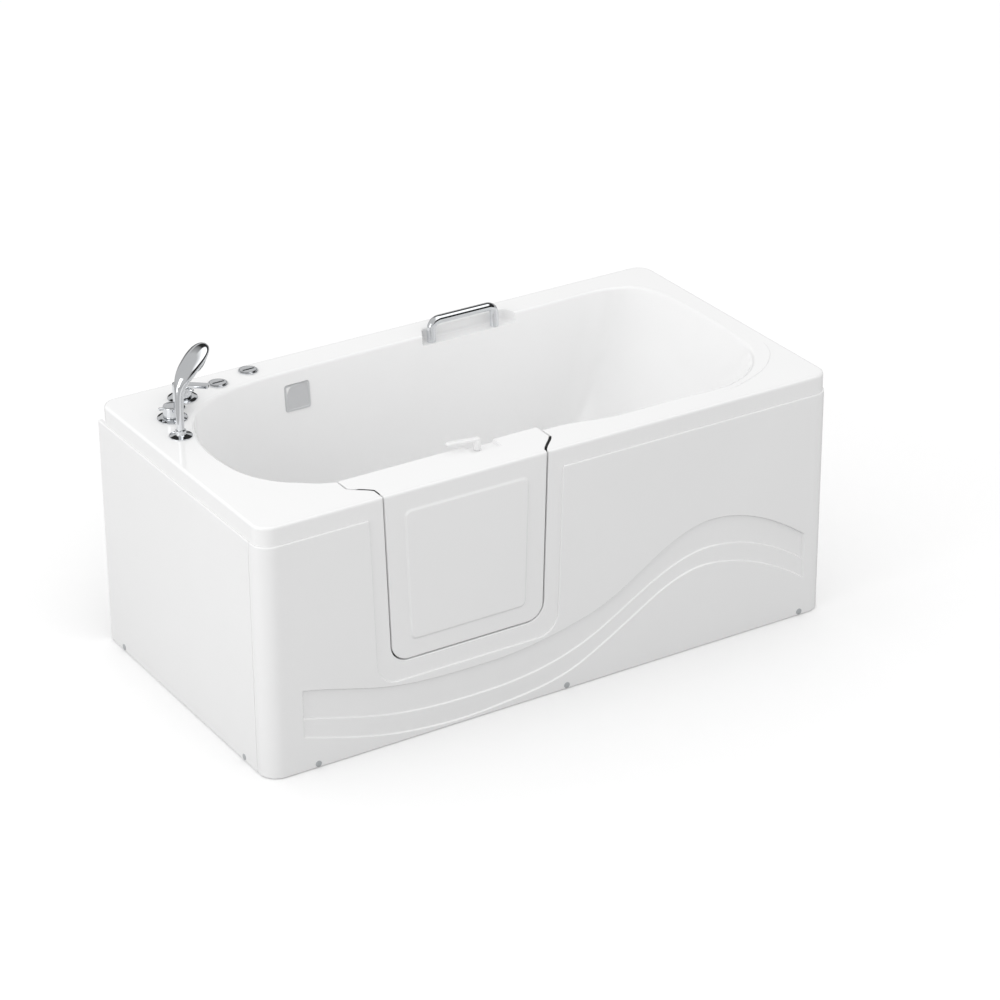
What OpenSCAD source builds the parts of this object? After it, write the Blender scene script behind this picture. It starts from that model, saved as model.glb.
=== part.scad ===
// Walk-in bathtub with an inward-opening plug door in its front.
// Lengths are in millimetres. Inside the modules x runs from the tap end of the rim,
// y from the front face of the rim and z from the floor; place() moves that corner so
// that the origin is on the floor under the middle of the tub.

/* [Rim and deck] */
// Length of the rim
rim_l = 1700; // [1600:10:1850]
// Depth of the rim from front to back
rim_w = 876; // [850:2:920]
// Height of the deck above the floor
deck_h = 700; // [670:2:740]
// Height of the rim's outer lip
lip_h = 52; // [44:1:60]
// Radius of the rim's corners in plan
corner_r = 45; // [40:1:50]
// Thickness of the moulded acrylic
skin_t = 6; // [5:0.5:7]

/* [Bowl] */
// Width of the deck beyond the bowl at the tap end
tap_deck = 103; // [98:1:120]
// Width of the deck beyond the bowl at the head end
head_deck = 60; // [55:1:80]
// Width of the deck in front of the bowl, beside the door
front_deck = 86; // [80:1:92]
// Radius of the bowl's tap end at the deck
tap_round = 348; // [320:2:348]
// Width of the deck behind the bowl
back_deck = 91; // [88:1:96]
// Height of the bowl's floor
floor_h = 120; // [112:1:122]
// Height at which the walls turn in to the floor
knee_h = 165; // [155:1:168]
// How far the backrest leans in between the deck and the knee
backrest_lean = 345; // [300:5:380]
// How far the tap end leans in
tap_end_lean = 72; // [50:1:90]
// How far the back wall leans in
back_lean = 50; // [30:1:60]
// How far the walls turn in below the knee
knee_turn = 60; // [40:1:70]

/* [Door] */
// Centre of the door along the rim
door_x = 582; // [560:1:600]
// Half width of the door's front at deck level
door_half = 237; // [225:1:245]
// Height of the bottom edge of the door's front
door_foot = 231; // [225:1:240]
// Radius of the door front's bottom corners
door_corner_r = 48; // [35:1:60]
// How much each side of the door narrows per millimetre of height
door_taper = 0.032; // [0.02:0.002:0.04]
// How far the door's inner part reaches past its front on each side
door_flare = 53; // [45:1:58]
// Depth of the door from its front face to its inner face
door_depth = 137; // [132:1:142]
// Gap all round the door
door_gap = 4; // [3.8:0.1:5]
// Thickness of the sealing gasket along the depth of the door
seal_t = 8; // [6:0.5:9]
// Thickness of the door's skins
door_skin = 4; // [3:0.5:5]
// How far the raised field stands out of the door's face
field_proud = 4; // [2:0.5:5]
// Margin between the raised field and the edge of the door's face
field_margin = 56; // [45:1:65]

/* [Hinges and latch] */
// Height of the lower hinge's middle above the bottom of the door's front
hinge_rise = 89; // [80:1:110]
// Drop from the deck to the upper hinge's middle
hinge_drop = 100; // [90:1:130]
// Height of a hinge
hinge_h = 90; // [70:2:110]
// Radius of a hinge knuckle
knuckle_r = 7; // [6:0.5:7.5]
// Thickness of a hinge leaf
leaf_t = 3; // [2.5:0.5:3.5]
// Length of a hinge leaf from the pin
leaf_l = 44; // [36:1:46]
// Radius of a hinge pin
hinge_pin_r = 4; // [3:0.25:4.5]
// Distance of the latch lever's pivot from the middle of the door
latch_dx = 104; // [94:1:114]
// Length of the latch lever
lever_l = 76; // [60:1:90]
// Width of the latch lever
lever_w = 17; // [14:0.5:20]
// Thickness of the latch lever
lever_t = 8; // [6:0.5:10]
// Height of the latch lever's underside above the deck
lever_rise = 17; // [8:1:22]
// How far the latch lever points into the bowl at rest, in degrees
lever_turn = 10; // [0:1:20]
// Depth of the notch under the latch lever
notch_depth = 10; // [8:0.5:12]
// Radius of the latch bolt
bolt_r = 6; // [5:0.25:7]
// Travel of the latch bolt
bolt_throw = 14; // [12:0.5:16]
// Depth of the bolt below the deck
bolt_drop = 38; // [34:1:44]

/* [Panels] */
// How far the panels stand out of the rim, which is also their thickness
panel_t = 4; // [3:0.5:5]
// Gap between the panels and the floor
panel_gap = 2; // [1:0.5:5]
// Length of the front apron's return round each corner, from the front
wrap_l = 57; // [52:1:70]
// Gap between the apron's return and an end panel
panel_joint = 1.5; // [0.5:0.25:3]
// Full depth of the wave recess
wave_depth = 7; // [4:0.5:8]
// Distance between the door and the edge of the apron
surround_w = 46; // [40:1:50]
// Distance along the rim of the front screws: tap end, middle and from the head end
front_screws = [137, 876, 77];
// Distances of the end panel screws from the front
end_screws = [125, 799];
// Height of the panel screws above the panel's edge
screw_rise = 10; // [9:0.5:12]
// Radius of a screw cap
cap_r = 8.5; // [7:0.5:10]
// Height of a screw cap
cap_t = 2; // [1.8:0.1:3]
// Radius of a panel screw's shank
screw_r = 2.5; // [2:0.25:3]

/* [Frame and feet] */
// Side of the square frame tube
tube = 30; // [25:1:30]
// Wall of the frame tube
tube_wall = 2; // [1.5:0.25:3]
// Distance from the rim's faces to the frame
frame_inset = 20; // [20:0.5:22]
// Thickness of the board under the bowl
board_t = 12; // [10:1:16]
// Radius of a foot pad
foot_r = 20; // [16:1:21]
// Thickness of a foot pad
foot_t = 8; // [6:1:12]
// Radius of a foot's threaded rod
rod_r = 6; // [5:0.5:8]

/* [Grab bar] */
// Distance of the first post from the tap end
grab_x = 957; // [930:1:980]
// Distance between the posts' centres
grab_l = 200; // [180:2:220]
// Radius of the tube
grab_r = 12; // [10:0.5:12.5]
// Height of the tube's axis above the shelf
grab_h = 60; // [42:1:70]
// Radius of the tube's bends
grab_bend = 24; // [20:1:28]
// Drop from the deck to the shelf
shelf_drop = 30; // [26:1:34]
// Depth of the shelf behind the bowl's edge
shelf_w = 40; // [38:1:42]

/* [Waste and overflow] */
// Side of the square overflow plate
plate_w = 76; // [70:1:84]
// Thickness of the overflow plate
plate_t = 9; // [7:0.5:12]
// Position of the overflow and waste along the rim
waste_x = 528; // [515:1:540]
// Depth of the overflow below the deck
overflow_drop = 77; // [70:1:90]
// Distance of the waste from the back face of the rim
waste_back = 276; // [260:1:300]
// Radius of the waste flange
waste_r = 35; // [32:1:38]
// Radius of the waste's threaded tail
tail_r = 20; // [18:0.5:22]
// Travel of the waste plug
plug_lift = 12; // [8:1:14]
// Radius of the overflow pipe
pipe_r = 16; // [14:0.5:17]
// Radius of the waste outlet
outlet_r = 20; // [16:0.5:20]

/* [Deck fittings] */
// Distances of the hand shower's holder from the tap end and from the back
shower_set = [85, 301];
// Distances of the front tap from the tap end and from the back
front_tap_set = [116, 194];
// Distances of the rear tap from the tap end and from the back
rear_tap_set = [194, 99];
// Distances of the diverter knob from the tap end and from the back
diverter_set = [312, 71];
// Distances of the waste control knob from the tap end and from the back
control_set = [417, 41];
// Radius of a tap's flange
flange_r = 40; // [32:1:41]
// Radius of a tap's handle
handle_r = 24; // [20:0.5:28]
// Height of a tap's handle
handle_h = 30; // [24:1:36]
// Height of the spout's axis above the deck
spout_h = 66; // [50:1:80]
// Reach of the spout from the middle of its column
spout_reach = 84; // [70:1:100]
// Radius of the two deck knobs' rings
knob_r = 26.5; // [22:0.5:29]
// Radius of the shower holder's flange
holder_r = 30.5; // [26:0.5:33]
// Height of the hand shower above the deck
shower_h = 226; // [200:2:250]
// Radius of the hand shower's handle in its holder
grip_r = 10; // [9:0.5:11]
// Radial clearance of pins, spindles and stems in their bores
running = 0.06; // [0.03:0.01:0.09]

/* [Hidden] */
$fn = 48;

// Outer skins
lip_z = deck_h - lip_h;
panel_h = lip_z - panel_gap;
over = 1;          // how far a cut runs past the face that it opens
hang = 8;          // depth of the panels' fold under the lip
portal_lap = 6;    // how far the shell's flange round the door reaches behind the apron

// Bowl: corners of its rings as [x0, x1, y0, y1], at the deck, the knee and the floor
wall_y = door_depth;
deck_ring = [tap_deck, rim_l - head_deck, front_deck, rim_w - back_deck];
knee_ring = [tap_deck + tap_end_lean, rim_l - head_deck - backrest_lean,
             wall_y, rim_w - back_deck - back_lean];
floor_ring = knee_ring + knee_turn * [1, -1.3, 1, -1];
back_tilt = atan(back_lean / (deck_h - skin_t - knee_h));
wall_start = tap_deck + tap_round + 4;      // where the long walls begin behind the round end
foot_top = max(knee_h, door_foot - door_flare - door_gap - skin_t) + 2;
bend_edge = 4;              // distance of the seams from the bends
seam_in = 2;                // distance of the floor's seams from the turn's edges
seam_corner = 7;            // how much tighter the floor's seams turn their corners

// Door: where its sides start to flare and stop, on the hinge side and on the free side
flare_start = [40, 9];
flare_stop = [87, 72];
free_edge_y = 118;          // depth of the deck beside the door's free side
door_top_t = notch_depth + door_skin;
inner_half = door_half + door_flare;

// Hinge: the pin stands clear of the door's inner face and of the wall beside it
hinge_off = leaf_t + knuckle_r;
hinge = [door_x - inner_half + 3, door_depth + hinge_off];
jamb_x = door_x - inner_half - door_gap;
jamb_turn = 156.6;          // direction of the wall beside the hinge
jamb_dir = [cos(jamb_turn), sin(jamb_turn)];
jamb_out = [sin(jamb_turn), -cos(jamb_turn)];
knuckle_gap = 0.4;
hinge_z = [door_foot + hinge_rise, deck_h - hinge_drop];
hinge_screw_r = 2;
wall_behind = skin_t * jamb_out[1];     // thickness of the wall that carries the frame leaves
backing_t = 4;

// Latch
latch = [door_x + latch_dx, door_depth - 16];
bolt_y = free_edge_y - 14;
bolt_z = deck_h - bolt_drop;
bolt_rest_x = door_side(bolt_z, door_flare) - 1;
spindle_r = 5;
case_l = 56;
case_drop = 22;             // height of the latch case below the bolt's axis
notch = [door_x + 73, door_x + 160];

// Frame
board_z = floor_h - skin_t - board_t;
rail_z = board_z - tube;
frame_x = [frame_inset, rim_l - frame_inset - tube];
frame_y = [frame_inset, rim_w - frame_inset - tube];
front_posts = [jamb_x - skin_t - tube - 28, door_x + inner_half + door_gap + skin_t + 22];
back_posts = [waste_x + 60, rim_l - 450];
cross_x = [330, waste_x + 150, 960, rim_l - 430];
top_rail_z = deck_h - 140;

// Fittings under the deck
deck_z = deck_h - skin_t;
function deck_place(set) = [set[0], rim_w - set[1]];
shower_at = deck_place(shower_set);
front_tap_at = deck_place(front_tap_set);
rear_tap_at = deck_place(rear_tap_set);
diverter_at = deck_place(diverter_set);
control_at = deck_place(control_set);
tap_angle = atan2(rear_tap_at[1] - front_tap_at[1], rear_tap_at[0] - front_tap_at[0]);
spout_at = (front_tap_at + rear_tap_at) / 2;
tap_tail_r = 10.5;
valve_body_l = 38;
valve_tail_l = 24;
tap_body_r = 17;
shank_r = 12;
nut_t = 8;

// Grab bar
shelf_z = deck_h - shelf_drop;
grab_y = rim_w - back_deck + 12.5;
stud_r = 4;
shelf_back = rim_w - back_deck + shelf_w;

// Waste and overflow
waste = [waste_x, rim_w - waste_back];
overflow_z = deck_h - overflow_drop;
overflow_y = rim_w - back_deck - (overflow_drop - skin_t) * tan(back_tilt);
overflow_r = 22;
pipe_y = overflow_y + 28;
trap_z = 40;
trap_r = 40;
stem_r = 4;
outlet_turn = 40;           // radius of the outlet's bend towards the back
outlet_out = 100;           // distance of the outlet's end from the waste's axis
outlet_run = 100;           // length of the outlet behind its bend
outlet_free = 40;
screw_z = panel_gap + screw_rise;
boss_r = 7;

// ---------------------------------------------------------------- helpers

// Moves the rim's corner so that the origin is under the middle of the tub.
module place() {
    translate([-rim_l / 2, -(rim_w - panel_t - cap_t) / 2, 0]) children();
}

// Extrudes a shape drawn in x and z from depth y0 to depth y1.
module along_y(y0, y1) {
    translate([0, y1, 0]) rotate([90, 0, 0]) linear_extrude(y1 - y0) children();
}

module box(x0, x1, y0, y1, z0, z1) {
    translate([x0, y0, z0]) cube([x1 - x0, y1 - y0, z1 - z0]);
}

module rod(p, r, z0, z1) {
    translate([p[0], p[1], z0]) cylinder(r = r, h = z1 - z0);
}

module ring(p, r_out, r_in, z0, z1) {
    difference() {
        rod(p, r_out, z0, z1);
        rod(p, r_in, z0 - over, z1 + over);
    }
}

module hex_nut(p, flats, hole_r, z0, z1) {
    difference() {
        translate([p[0], p[1], z0]) cylinder(r = flats / sqrt(3), h = z1 - z0, $fn = 6);
        rod(p, hole_r, z0 - over, z1 + over);
    }
}

function unit(v) = v / norm(v);

// Points that round the corner p, given as [x, y, radius], between its neighbours a and b.
function corner(a, p, b, n) =
    let (c = [p[0], p[1]], u = unit([a[0], a[1]] - c), v = unit([b[0], b[1]] - c))
    p[2] <= 0 ? [c] :
    let (phi = acos(u * v), m = c + unit(u + v) * p[2] / sin(phi / 2), w = 180 - phi,
         s = c + u * p[2] / tan(phi / 2) - m, e = c + v * p[2] / tan(phi / 2) - m)
    [for (k = [0:n]) m + (s * sin(w - w * k / n) + e * sin(w * k / n)) / sin(w)];

// An outline whose corners are given as [x, y, radius].
function rounded(pts, n = 6) =
    [for (i = [0:len(pts) - 1])
        each corner(pts[(i + len(pts) - 1) % len(pts)], pts[i], pts[(i + 1) % len(pts)], n)];

function grown(b, g) = [b[0] - g, b[1] + g, b[2] - g, b[3] + g];

// A rectangle [x0, x1, y0, y1] with the corner radii front left, front right, back right, back left.
function rounded_box(b, r, n = 6) =
    rounded([[b[0], b[2], r[0]], [b[1], b[2], r[1]], [b[1], b[3], r[2]], [b[0], b[3], r[3]]], n);

// Half width of the door's outline and its side's x on the free side, at a height.
function door_side(z, spread) = door_x + door_half + spread - (deck_h - z) * door_taper;

// A solid through rings of points, which turn anticlockwise seen from the last ring.
module loft(rings) {
    n = len(rings[0]);
    last = (len(rings) - 1) * n;
    polyhedron(points = [for (r = rings) each r], faces = concat(
        [[for (i = [0:n - 1]) i]],
        [for (j = [0:n:last - n], i = [0:n - 1]) [j + i, j + n + (i + 1) % n, j + (i + 1) % n]],
        [for (j = [0:n:last - n], i = [0:n - 1]) [j + i, j + n + i, j + n + (i + 1) % n]],
        [[for (i = [n - 1:-1:0]) last + i]]));
}

function at_height(pts, z) = [for (p = pts) [p[0], p[1], z]];

// ---------------------------------------------------------------- tub

function rim_outline(g) = rounded_box(grown([0, rim_l, 0, rim_w], g), (corner_r + g) * [1, 1, 1, 1], 8);

// One level of the bowl: a full round at the tap end and two corners at the head end.
deck_radii = [tap_round, 190, 130, tap_round];
knee_radii = [150, 150, 110, 250];

function bowl_outline(b, r, g) =
    let (half = (b[3] - b[2]) / 2 - 1)
    rounded_box(grown(b, g), [min(r[0], half) + g, r[1] + g, r[2] + g, min(r[3], half) + g], 14);

// The bowl's plan below the knee, at a distance in from the knee's ring, with each corner
// tighter by an amount.
function foot_outline(inset, g, tighter) =
    bowl_outline(knee_ring + inset * [1, -1.3, 1, -1],
                 knee_radii - inset * [0.5, 0.5, 0.25, 1] - tighter * [1, 1, 1, 1], g);

// The bowl's ring at an angle of the turn from the walls (0) to the floor (90).
function knee_level(a, g) =
    at_height(foot_outline(knee_turn * (1 - cos(a)), g, 0), knee_h - (knee_h - floor_h + g) * sin(a));

module bowl_body(g, top) {
    deck = bowl_outline(deck_ring, deck_radii, g);
    loft([knee_level(90, g), knee_level(60, g), knee_level(30, g), knee_level(0, g),
          at_height(deck, deck_z), at_height(deck, top)]);
}

// What the door's surround keeps out of the bowl; g moves its inner side to the front.
module front_ledge(g) {
    side = jamb_x - 0.7;
    foot = hinge - hinge_off * jamb_out;
    at_jamb = foot + jamb_dir * (side - foot[0]) / jamb_dir[0];
    turn = foot + jamb_dir * (leaf_l + 3);
    back = [0, -g];
    far = [for (k = [1, 2.65, 3.65]) door_x + inner_half + 63 * k];
    translate([0, 0, -over]) linear_extrude(deck_h + 3 * over) polygon([
        [-over, -over], [far[2], -over], [far[2], front_deck - 6] + back,
        [far[1], front_deck + 9] + back, [far[0], free_edge_y] + back,
        [far[0] - 98, free_edge_y] + back, [far[0] - 98, wall_y] + back,
        [side, wall_y] + back, at_jamb + back, turn + back, turn + [-40, 29] + back,
        turn + [-80, 58] + back, turn + [-113, 102] + back, turn + [-135, 160] + back,
        [-over, turn[1] + 160]
    ]);
}

// Front view of the door plug, spread sideways and down by the flare and a growth g.
function plug_outline(spread, g, top) =
    let (s = spread + g, foot = door_foot - s, side = door_side(foot, s) - door_x,
         head = door_side(top, s) - door_x, r = door_corner_r + s)
    rounded([[door_x - head, top, 0], [door_x - side, foot, r],
             [door_x + side, foot, r], [door_x + head, top, 0]], 10);

// The outline as a ring whose depth runs from ys[0] on the hinge side to ys[1] on the free side.
function plug_ring(ys, spread, g, top) =
    let (slope = (ys[1] - ys[0]) / (2 * (door_half + spread)), middle = (ys[0] + ys[1]) / 2)
    [for (p = plug_outline(spread, g, top)) [p[0], middle + slope * (p[0] - door_x), p[1]]];

// The door's solid shape: narrow at the front and flared behind. set_back moves the flare.
module plug(g, set_back, front, back, top) {
    loft([plug_ring([back, back], door_flare, g, top),
          plug_ring(flare_stop + set_back * [1, 1], door_flare, g, top),
          plug_ring(flare_start + set_back * [1, 1], 0, g, top),
          plug_ring([front, front], 0, g, top)]);
}

module grab_shelf(g, z0, z1) {
    y0 = rim_w - back_deck - 12;
    translate([0, 0, z0]) linear_extrude(z1 - z0) polygon([
        [grab_x - 42 - g, y0], [grab_x - 12 - g, shelf_back + g],
        [grab_x + grab_l + 43 + g, shelf_back + g], [grab_x + grab_l + 66 + g, y0]
    ]);
}

module deck_holes() {
    for (p = [front_tap_at, rear_tap_at, spout_at, diverter_at, control_at, shower_at])
        rod(p, shank_r + 0.5, deck_z - over, deck_h + over);
}

module overflow_axis() {
    translate([waste_x, overflow_y, overflow_z]) rotate([-90 - back_tilt, 0, 0]) children();
}

module strike_axis() {
    translate([door_side(bolt_z, door_flare) + door_gap, bolt_y, bolt_z]) rotate([0, 90, 0]) children();
}

module bowl_hollow() {
    difference() {
        bowl_body(0, deck_h + over);
        front_ledge(0);
    }
}

module bowl_outside(top) {
    difference() {
        bowl_body(skin_t, top);
        front_ledge(skin_t);
    }
}

// The space that the door's surround fills, through the rim and the bowl's front wall.
module surround_block(front, top) {
    plug(door_gap + skin_t, 0, front, door_depth + 8, top);
}

module tub_rim() {
    color("white") place() difference() {
        difference() {
            union() {
                translate([0, 0, deck_z]) linear_extrude(skin_t) polygon(rim_outline(0));
                difference() {
                    translate([0, 0, lip_z]) linear_extrude(lip_h - over) polygon(rim_outline(0));
                    translate([0, 0, lip_z - over]) linear_extrude(lip_h) polygon(rim_outline(-skin_t));
                }
            }
            bowl_outside(deck_h + over);
        }
        surround_block(-over, deck_h + over);
        grab_shelf(skin_t, shelf_z - skin_t - over, deck_h + over);
        deck_holes();
    }
}

// The bowl's moulding, which the next modules part into pieces of simple shape.
module bowl_moulding() {
    difference() {
        difference() {
            bowl_outside(deck_h);
            bowl_hollow();
        }
        surround_block(-over, deck_h + over);
        grab_shelf(skin_t, shelf_z - skin_t, deck_h + over);
        overflow_axis() cylinder(r = overflow_r, h = 60, center = true);
        rod(waste, tail_r + 1, floor_h - skin_t - over, floor_h + over);
        wall_side() hinge_screw_bores(wall_behind + over);
    }
}

// Everything below the walls and inside a line at a distance in from the knee.
module foot_zone(inset) {
    translate([0, 0, floor_h - skin_t - over]) linear_extrude(foot_top - floor_h + skin_t + over)
        polygon(foot_outline(inset, 0, seam_corner));
}

// The zone of the two long walls, and of the backrest between the bends at the head end.
module wall_zone() {
    top = deck_h + over;
    for (side = [[-over, rim_w / 2, 1], [rim_w / 2, rim_w, 2]]) along_y(side[0], side[1]) polygon([
        [wall_start, foot_top], [knee_ring[1] - knee_radii[side[2]] - bend_edge, foot_top],
        [deck_ring[1] - deck_radii[side[2]] - bend_edge, top], [wall_start, top]
    ]);
    box(knee_ring[1] - 200, rim_l,
        max(deck_ring[2] + deck_radii[1], knee_ring[2] + knee_radii[1]) + bend_edge,
        min(deck_ring[3] - deck_radii[2], knee_ring[3] - knee_radii[2]) - bend_edge, foot_top, top);
}

module bowl_floor() {
    color("white") place() intersection() {
        bowl_moulding();
        foot_zone(knee_turn + seam_in);
    }
}

module bowl_foot() {
    color("white") place() intersection() {
        bowl_moulding();
        difference() {
            foot_zone(knee_turn / 2 - seam_in);
            foot_zone(knee_turn + seam_in);
        }
    }
}

module bowl_turn() {
    color("white") place() intersection() {
        bowl_moulding();
        difference() {
            box(0, rim_l, 0, rim_w, 0, foot_top);
            foot_zone(knee_turn / 2 - seam_in);
        }
    }
}

module bowl_walls() {
    color("white") place() intersection() {
        bowl_moulding();
        wall_zone();
    }
}

module bowl_bends() {
    color("white") place() difference() {
        intersection() {
            bowl_moulding();
            box(0, rim_l, 0, rim_w, foot_top, deck_h + over);
        }
        wall_zone();
    }
}

module door_surround() {
    color("white") place() difference() {
        difference() {
            union() {
                surround_block(0, deck_h);
                intersection() {
                    along_y(0, skin_t) polygon(surround_outline(portal_lap));
                    box(0, rim_l, 0, skin_t, 0, lip_z);
                }
            }
            bowl_hollow();
        }
        plug(door_gap, 0, -over, door_depth + 12, deck_h + over);
        strike_axis() translate([0, 0, -door_gap]) cylinder(r = bolt_r + 1, h = 20);
    }
}

module grab_pocket() {
    color("white") place() difference() {
        difference() {
            grab_shelf(skin_t, shelf_z - skin_t, deck_h);
            bowl_hollow();
        }
        grab_shelf(0, shelf_z, deck_h + over);
        for (x = [grab_x, grab_x + grab_l])
            rod([x, grab_y], stud_r + 0.5, shelf_z - skin_t - over, shelf_z + over);
    }
}

// Two boards under the floor, with the waste between them.
module base_board() {
    b = grown(floor_ring, -12);
    half = waste_r + 11;
    color("burlywood") place() difference() {
        translate([0, 0, board_z]) linear_extrude(board_t)
            polygon(rounded_box(b, [110, 100, 80, 150], 8));
        box(waste_x - half, waste_x + half, 0, rim_w, board_z - over, board_z + board_t + over);
    }
}

// ---------------------------------------------------------------- frame and feet

// A length of square tube from the corner p along an axis: 0 is x, 1 is y and 2 is z.
module tube_run(p, l, axis) {
    size = [for (i = [0:2]) i == axis ? l : tube];
    wall = [for (i = [0:2]) i == axis ? -over : tube_wall];
    translate(p) difference() {
        cube(size);
        translate(wall) cube(size - 2 * wall);
    }
}

module each_foot() {
    for (y = frame_y, x = [frame_x[0], front_posts[1], frame_x[1]])
        translate([x + tube / 2, y + tube / 2, 0]) children();
}

module frame_rails() {
    color("silver") place() difference() {
        for (y = frame_y) tube_run([frame_x[0], y, rail_z], frame_x[1] + tube - frame_x[0], 0);
        each_foot() rod([0, 0], rod_r + 0.5, rail_z - over, rail_z + tube_wall + over);
    }
}

module frame_bearers() {
    color("silver") place() for (x = concat(frame_x, cross_x))
        tube_run([x, frame_y[0] + tube, rail_z], frame_y[1] - frame_y[0] - tube, 1);
}

module frame_posts() {
    foot = rail_z + tube;
    color("silver") place() {
        for (x = concat(frame_x, front_posts)) tube_run([x, frame_y[0], foot], deck_z - foot, 2);
        for (x = concat(frame_x, back_posts)) tube_run([x, frame_y[1], foot], deck_z - foot, 2);
    }
}

// Rails between the posts under the deck, at the back and at both ends.
module frame_top_rails() {
    stops = concat([frame_x[0]], back_posts, [frame_x[1]]);
    color("silver") place() {
        for (i = [1:len(stops) - 1])
            tube_run([stops[i - 1] + tube, frame_y[1], top_rail_z], stops[i] - stops[i - 1] - tube, 0);
        for (x = frame_x)
            tube_run([x, frame_y[0] + tube, top_rail_z], frame_y[1] - frame_y[0] - tube, 1);
    }
}

module foot_pads() {
    color("dimgray") place() each_foot() difference() {
        union() {
            cylinder(r = foot_r, h = foot_t);
            translate([0, 0, foot_t]) cylinder(r1 = foot_r - 6, r2 = rod_r + 5, h = 7);
        }
        translate([0, 0, foot_t]) cylinder(r = rod_r + running, h = 7 + over);
    }
}

module foot_rods() {
    color("lightgray") place() each_foot() rod([0, 0], rod_r, foot_t, rail_z + tube - tube_wall - 3);
}

module foot_nuts() {
    color("lightgray") place() each_foot()
        hex_nut([0, 0], 3 * rod_r, rod_r + running, rail_z - nut_t - 2, rail_z);
}

// ---------------------------------------------------------------- panels

// A point of the curve between the knots p and q, each given as [x, z, slope].
function bend(p, q, t) =
    let (dx = q[0] - p[0], h = t * t * (3 - 2 * t))
    [p[0] + t * dx, (1 - h) * p[1] + h * q[1] + dx * t * (1 - t) * ((1 - t) * p[2] - t * q[2])];

function wave_line(knots, n = 9) = concat(
    [for (i = [0:len(knots) - 2], k = [0:n - 1]) bend(knots[i], knots[i + 1], k / n)],
    [[knots[len(knots) - 1][0], knots[len(knots) - 1][1]]]);

wave_x = [100, rim_l - 69];
wave_end = wave_x[1];
wave_top = [[wave_x[0], 230, -0.2], [380, 162, -0.138], [640, 150.5, 0], [940, 197, 0.277],
            [1130, 295, 0.643], [1330, 370, -0.01], [wave_end, 245, -0.744]];
wave_mid = [[wave_x[0], 150, -0.269], [370, 82.5, -0.16], [640, 67.5, 0.02], [940, 125.5, 0.429],
            [1130, 229.5, 0.544], [1330, 290, -0.04], [wave_end, 169.5, -0.739]];
wave_low = [[wave_x[0], 98.5, -0.312], [380, 25.5, -0.143], [640, 15, 0.085], [940, 76, 0.51],
            [1130, 184, 0.595], [1330, 242, -0.103], [wave_end, 115.5, -0.712]];

function lifted(line, dz) = [for (p = line) p + [0, dz]];
function reversed(list) = [for (i = [len(list) - 1:-1:0]) list[i]];
function band(upper, lower) = concat(wave_line(upper), reversed(wave_line(lower)));

// Outline of the opening that the apron leaves round the door, grown by g.
function surround_outline(g) =
    let (foot = door_foot - surround_w - 8 - g, low = door_side(foot, surround_w + g) - door_x,
         high = door_side(lip_z, surround_w + g) - door_x)
    rounded([[door_x - high - 40, lip_z + 6, 0], [door_x - high, lip_z + 1, 12],
             [door_x - low, foot, 60 + g], [door_x + low, foot, 60 + g],
             [door_x + high, lip_z + 1, 12], [door_x + high + 40, lip_z + 6, 0],
             [door_x, lip_z + 60, 0]], 8);

// The wall of the panels between two offsets from the rim's face.
module panel_wall(g_out, g_in, z0, z1) {
    translate([0, 0, z0]) linear_extrude(z1 - z0) difference() {
        polygon(rim_outline(g_out));
        polygon(rim_outline(g_in));
    }
}

module front_screw_places() {
    for (x = [front_screws[0], front_screws[1], rim_l - front_screws[2]])
        translate([x, -panel_t, screw_z]) rotate([90, 0, 0]) children();
}

module end_screw_places() {
    for (y = end_screws) {
        translate([-panel_t, y, screw_z]) rotate([0, -90, 0]) children();
        translate([rim_l + panel_t, y, screw_z]) rotate([0, 90, 0]) children();
    }
}

module all_screw_places() {
    front_screw_places() children();
    end_screw_places() children();
}

module screw_bore() {
    translate([0, 0, -panel_t - over]) cylinder(r = screw_r + 0.2, h = panel_t + 2 * over);
}

module front_apron() {
    color("whitesmoke") place() difference() {
        union() {
            intersection() {
                union() {
                    panel_wall(panel_t, 0, panel_gap, lip_z);
                    panel_wall(panel_t, -hang, lip_z - panel_t, lip_z);
                }
                box(-2 * panel_t, rim_l + 2 * panel_t, -2 * panel_t, wrap_l, 0, lip_z);
            }
            along_y(-panel_t, wave_depth) polygon(concat(
                [[wave_x[0] - panel_t, wave_top[0][1] + panel_t]],
                lifted(wave_line(wave_top), panel_t),
                [[wave_end + panel_t, wave_top[6][1] + panel_t],
                 [wave_end + panel_t, wave_low[6][1] - panel_t]],
                reversed(lifted(wave_line(wave_low), -panel_t)),
                [[wave_x[0] - panel_t, wave_low[0][1] - panel_t]]));
        }
        along_y(-panel_t - over, wave_depth - panel_t) polygon(band(wave_top, wave_mid));
        along_y(-panel_t - over, wave_depth / 2 - panel_t) polygon(band(wave_mid, wave_low));
        along_y(-2 * panel_t, hang + over) polygon(surround_outline(0));
        box(jamb_x - skin_t - 7, door_x + inner_half + door_gap + skin_t + 7,
            0, hang + over, lip_z - panel_t - over, lip_z + over);
        front_screw_places() screw_bore();
    }
}

module end_panel_shape() {
    difference() {
        union() {
            intersection() {
                union() {
                    panel_wall(panel_t, 0, panel_gap, lip_z);
                    panel_wall(panel_t, -hang, lip_z - panel_t, lip_z);
                }
                box(-2 * panel_t, rim_l / 2, wrap_l + panel_joint, rim_w - corner_r, 0, lip_z);
            }
            box(-panel_t, 0, rim_w - corner_r - over, rim_w, panel_gap, lip_z);
        }
        end_screw_places() screw_bore();
    }
}

module left_end_panel() {
    color("whitesmoke") place() end_panel_shape();
}

module right_end_panel() {
    color("whitesmoke") place() translate([rim_l, 0, 0]) mirror([1, 0, 0]) end_panel_shape();
}

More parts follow.
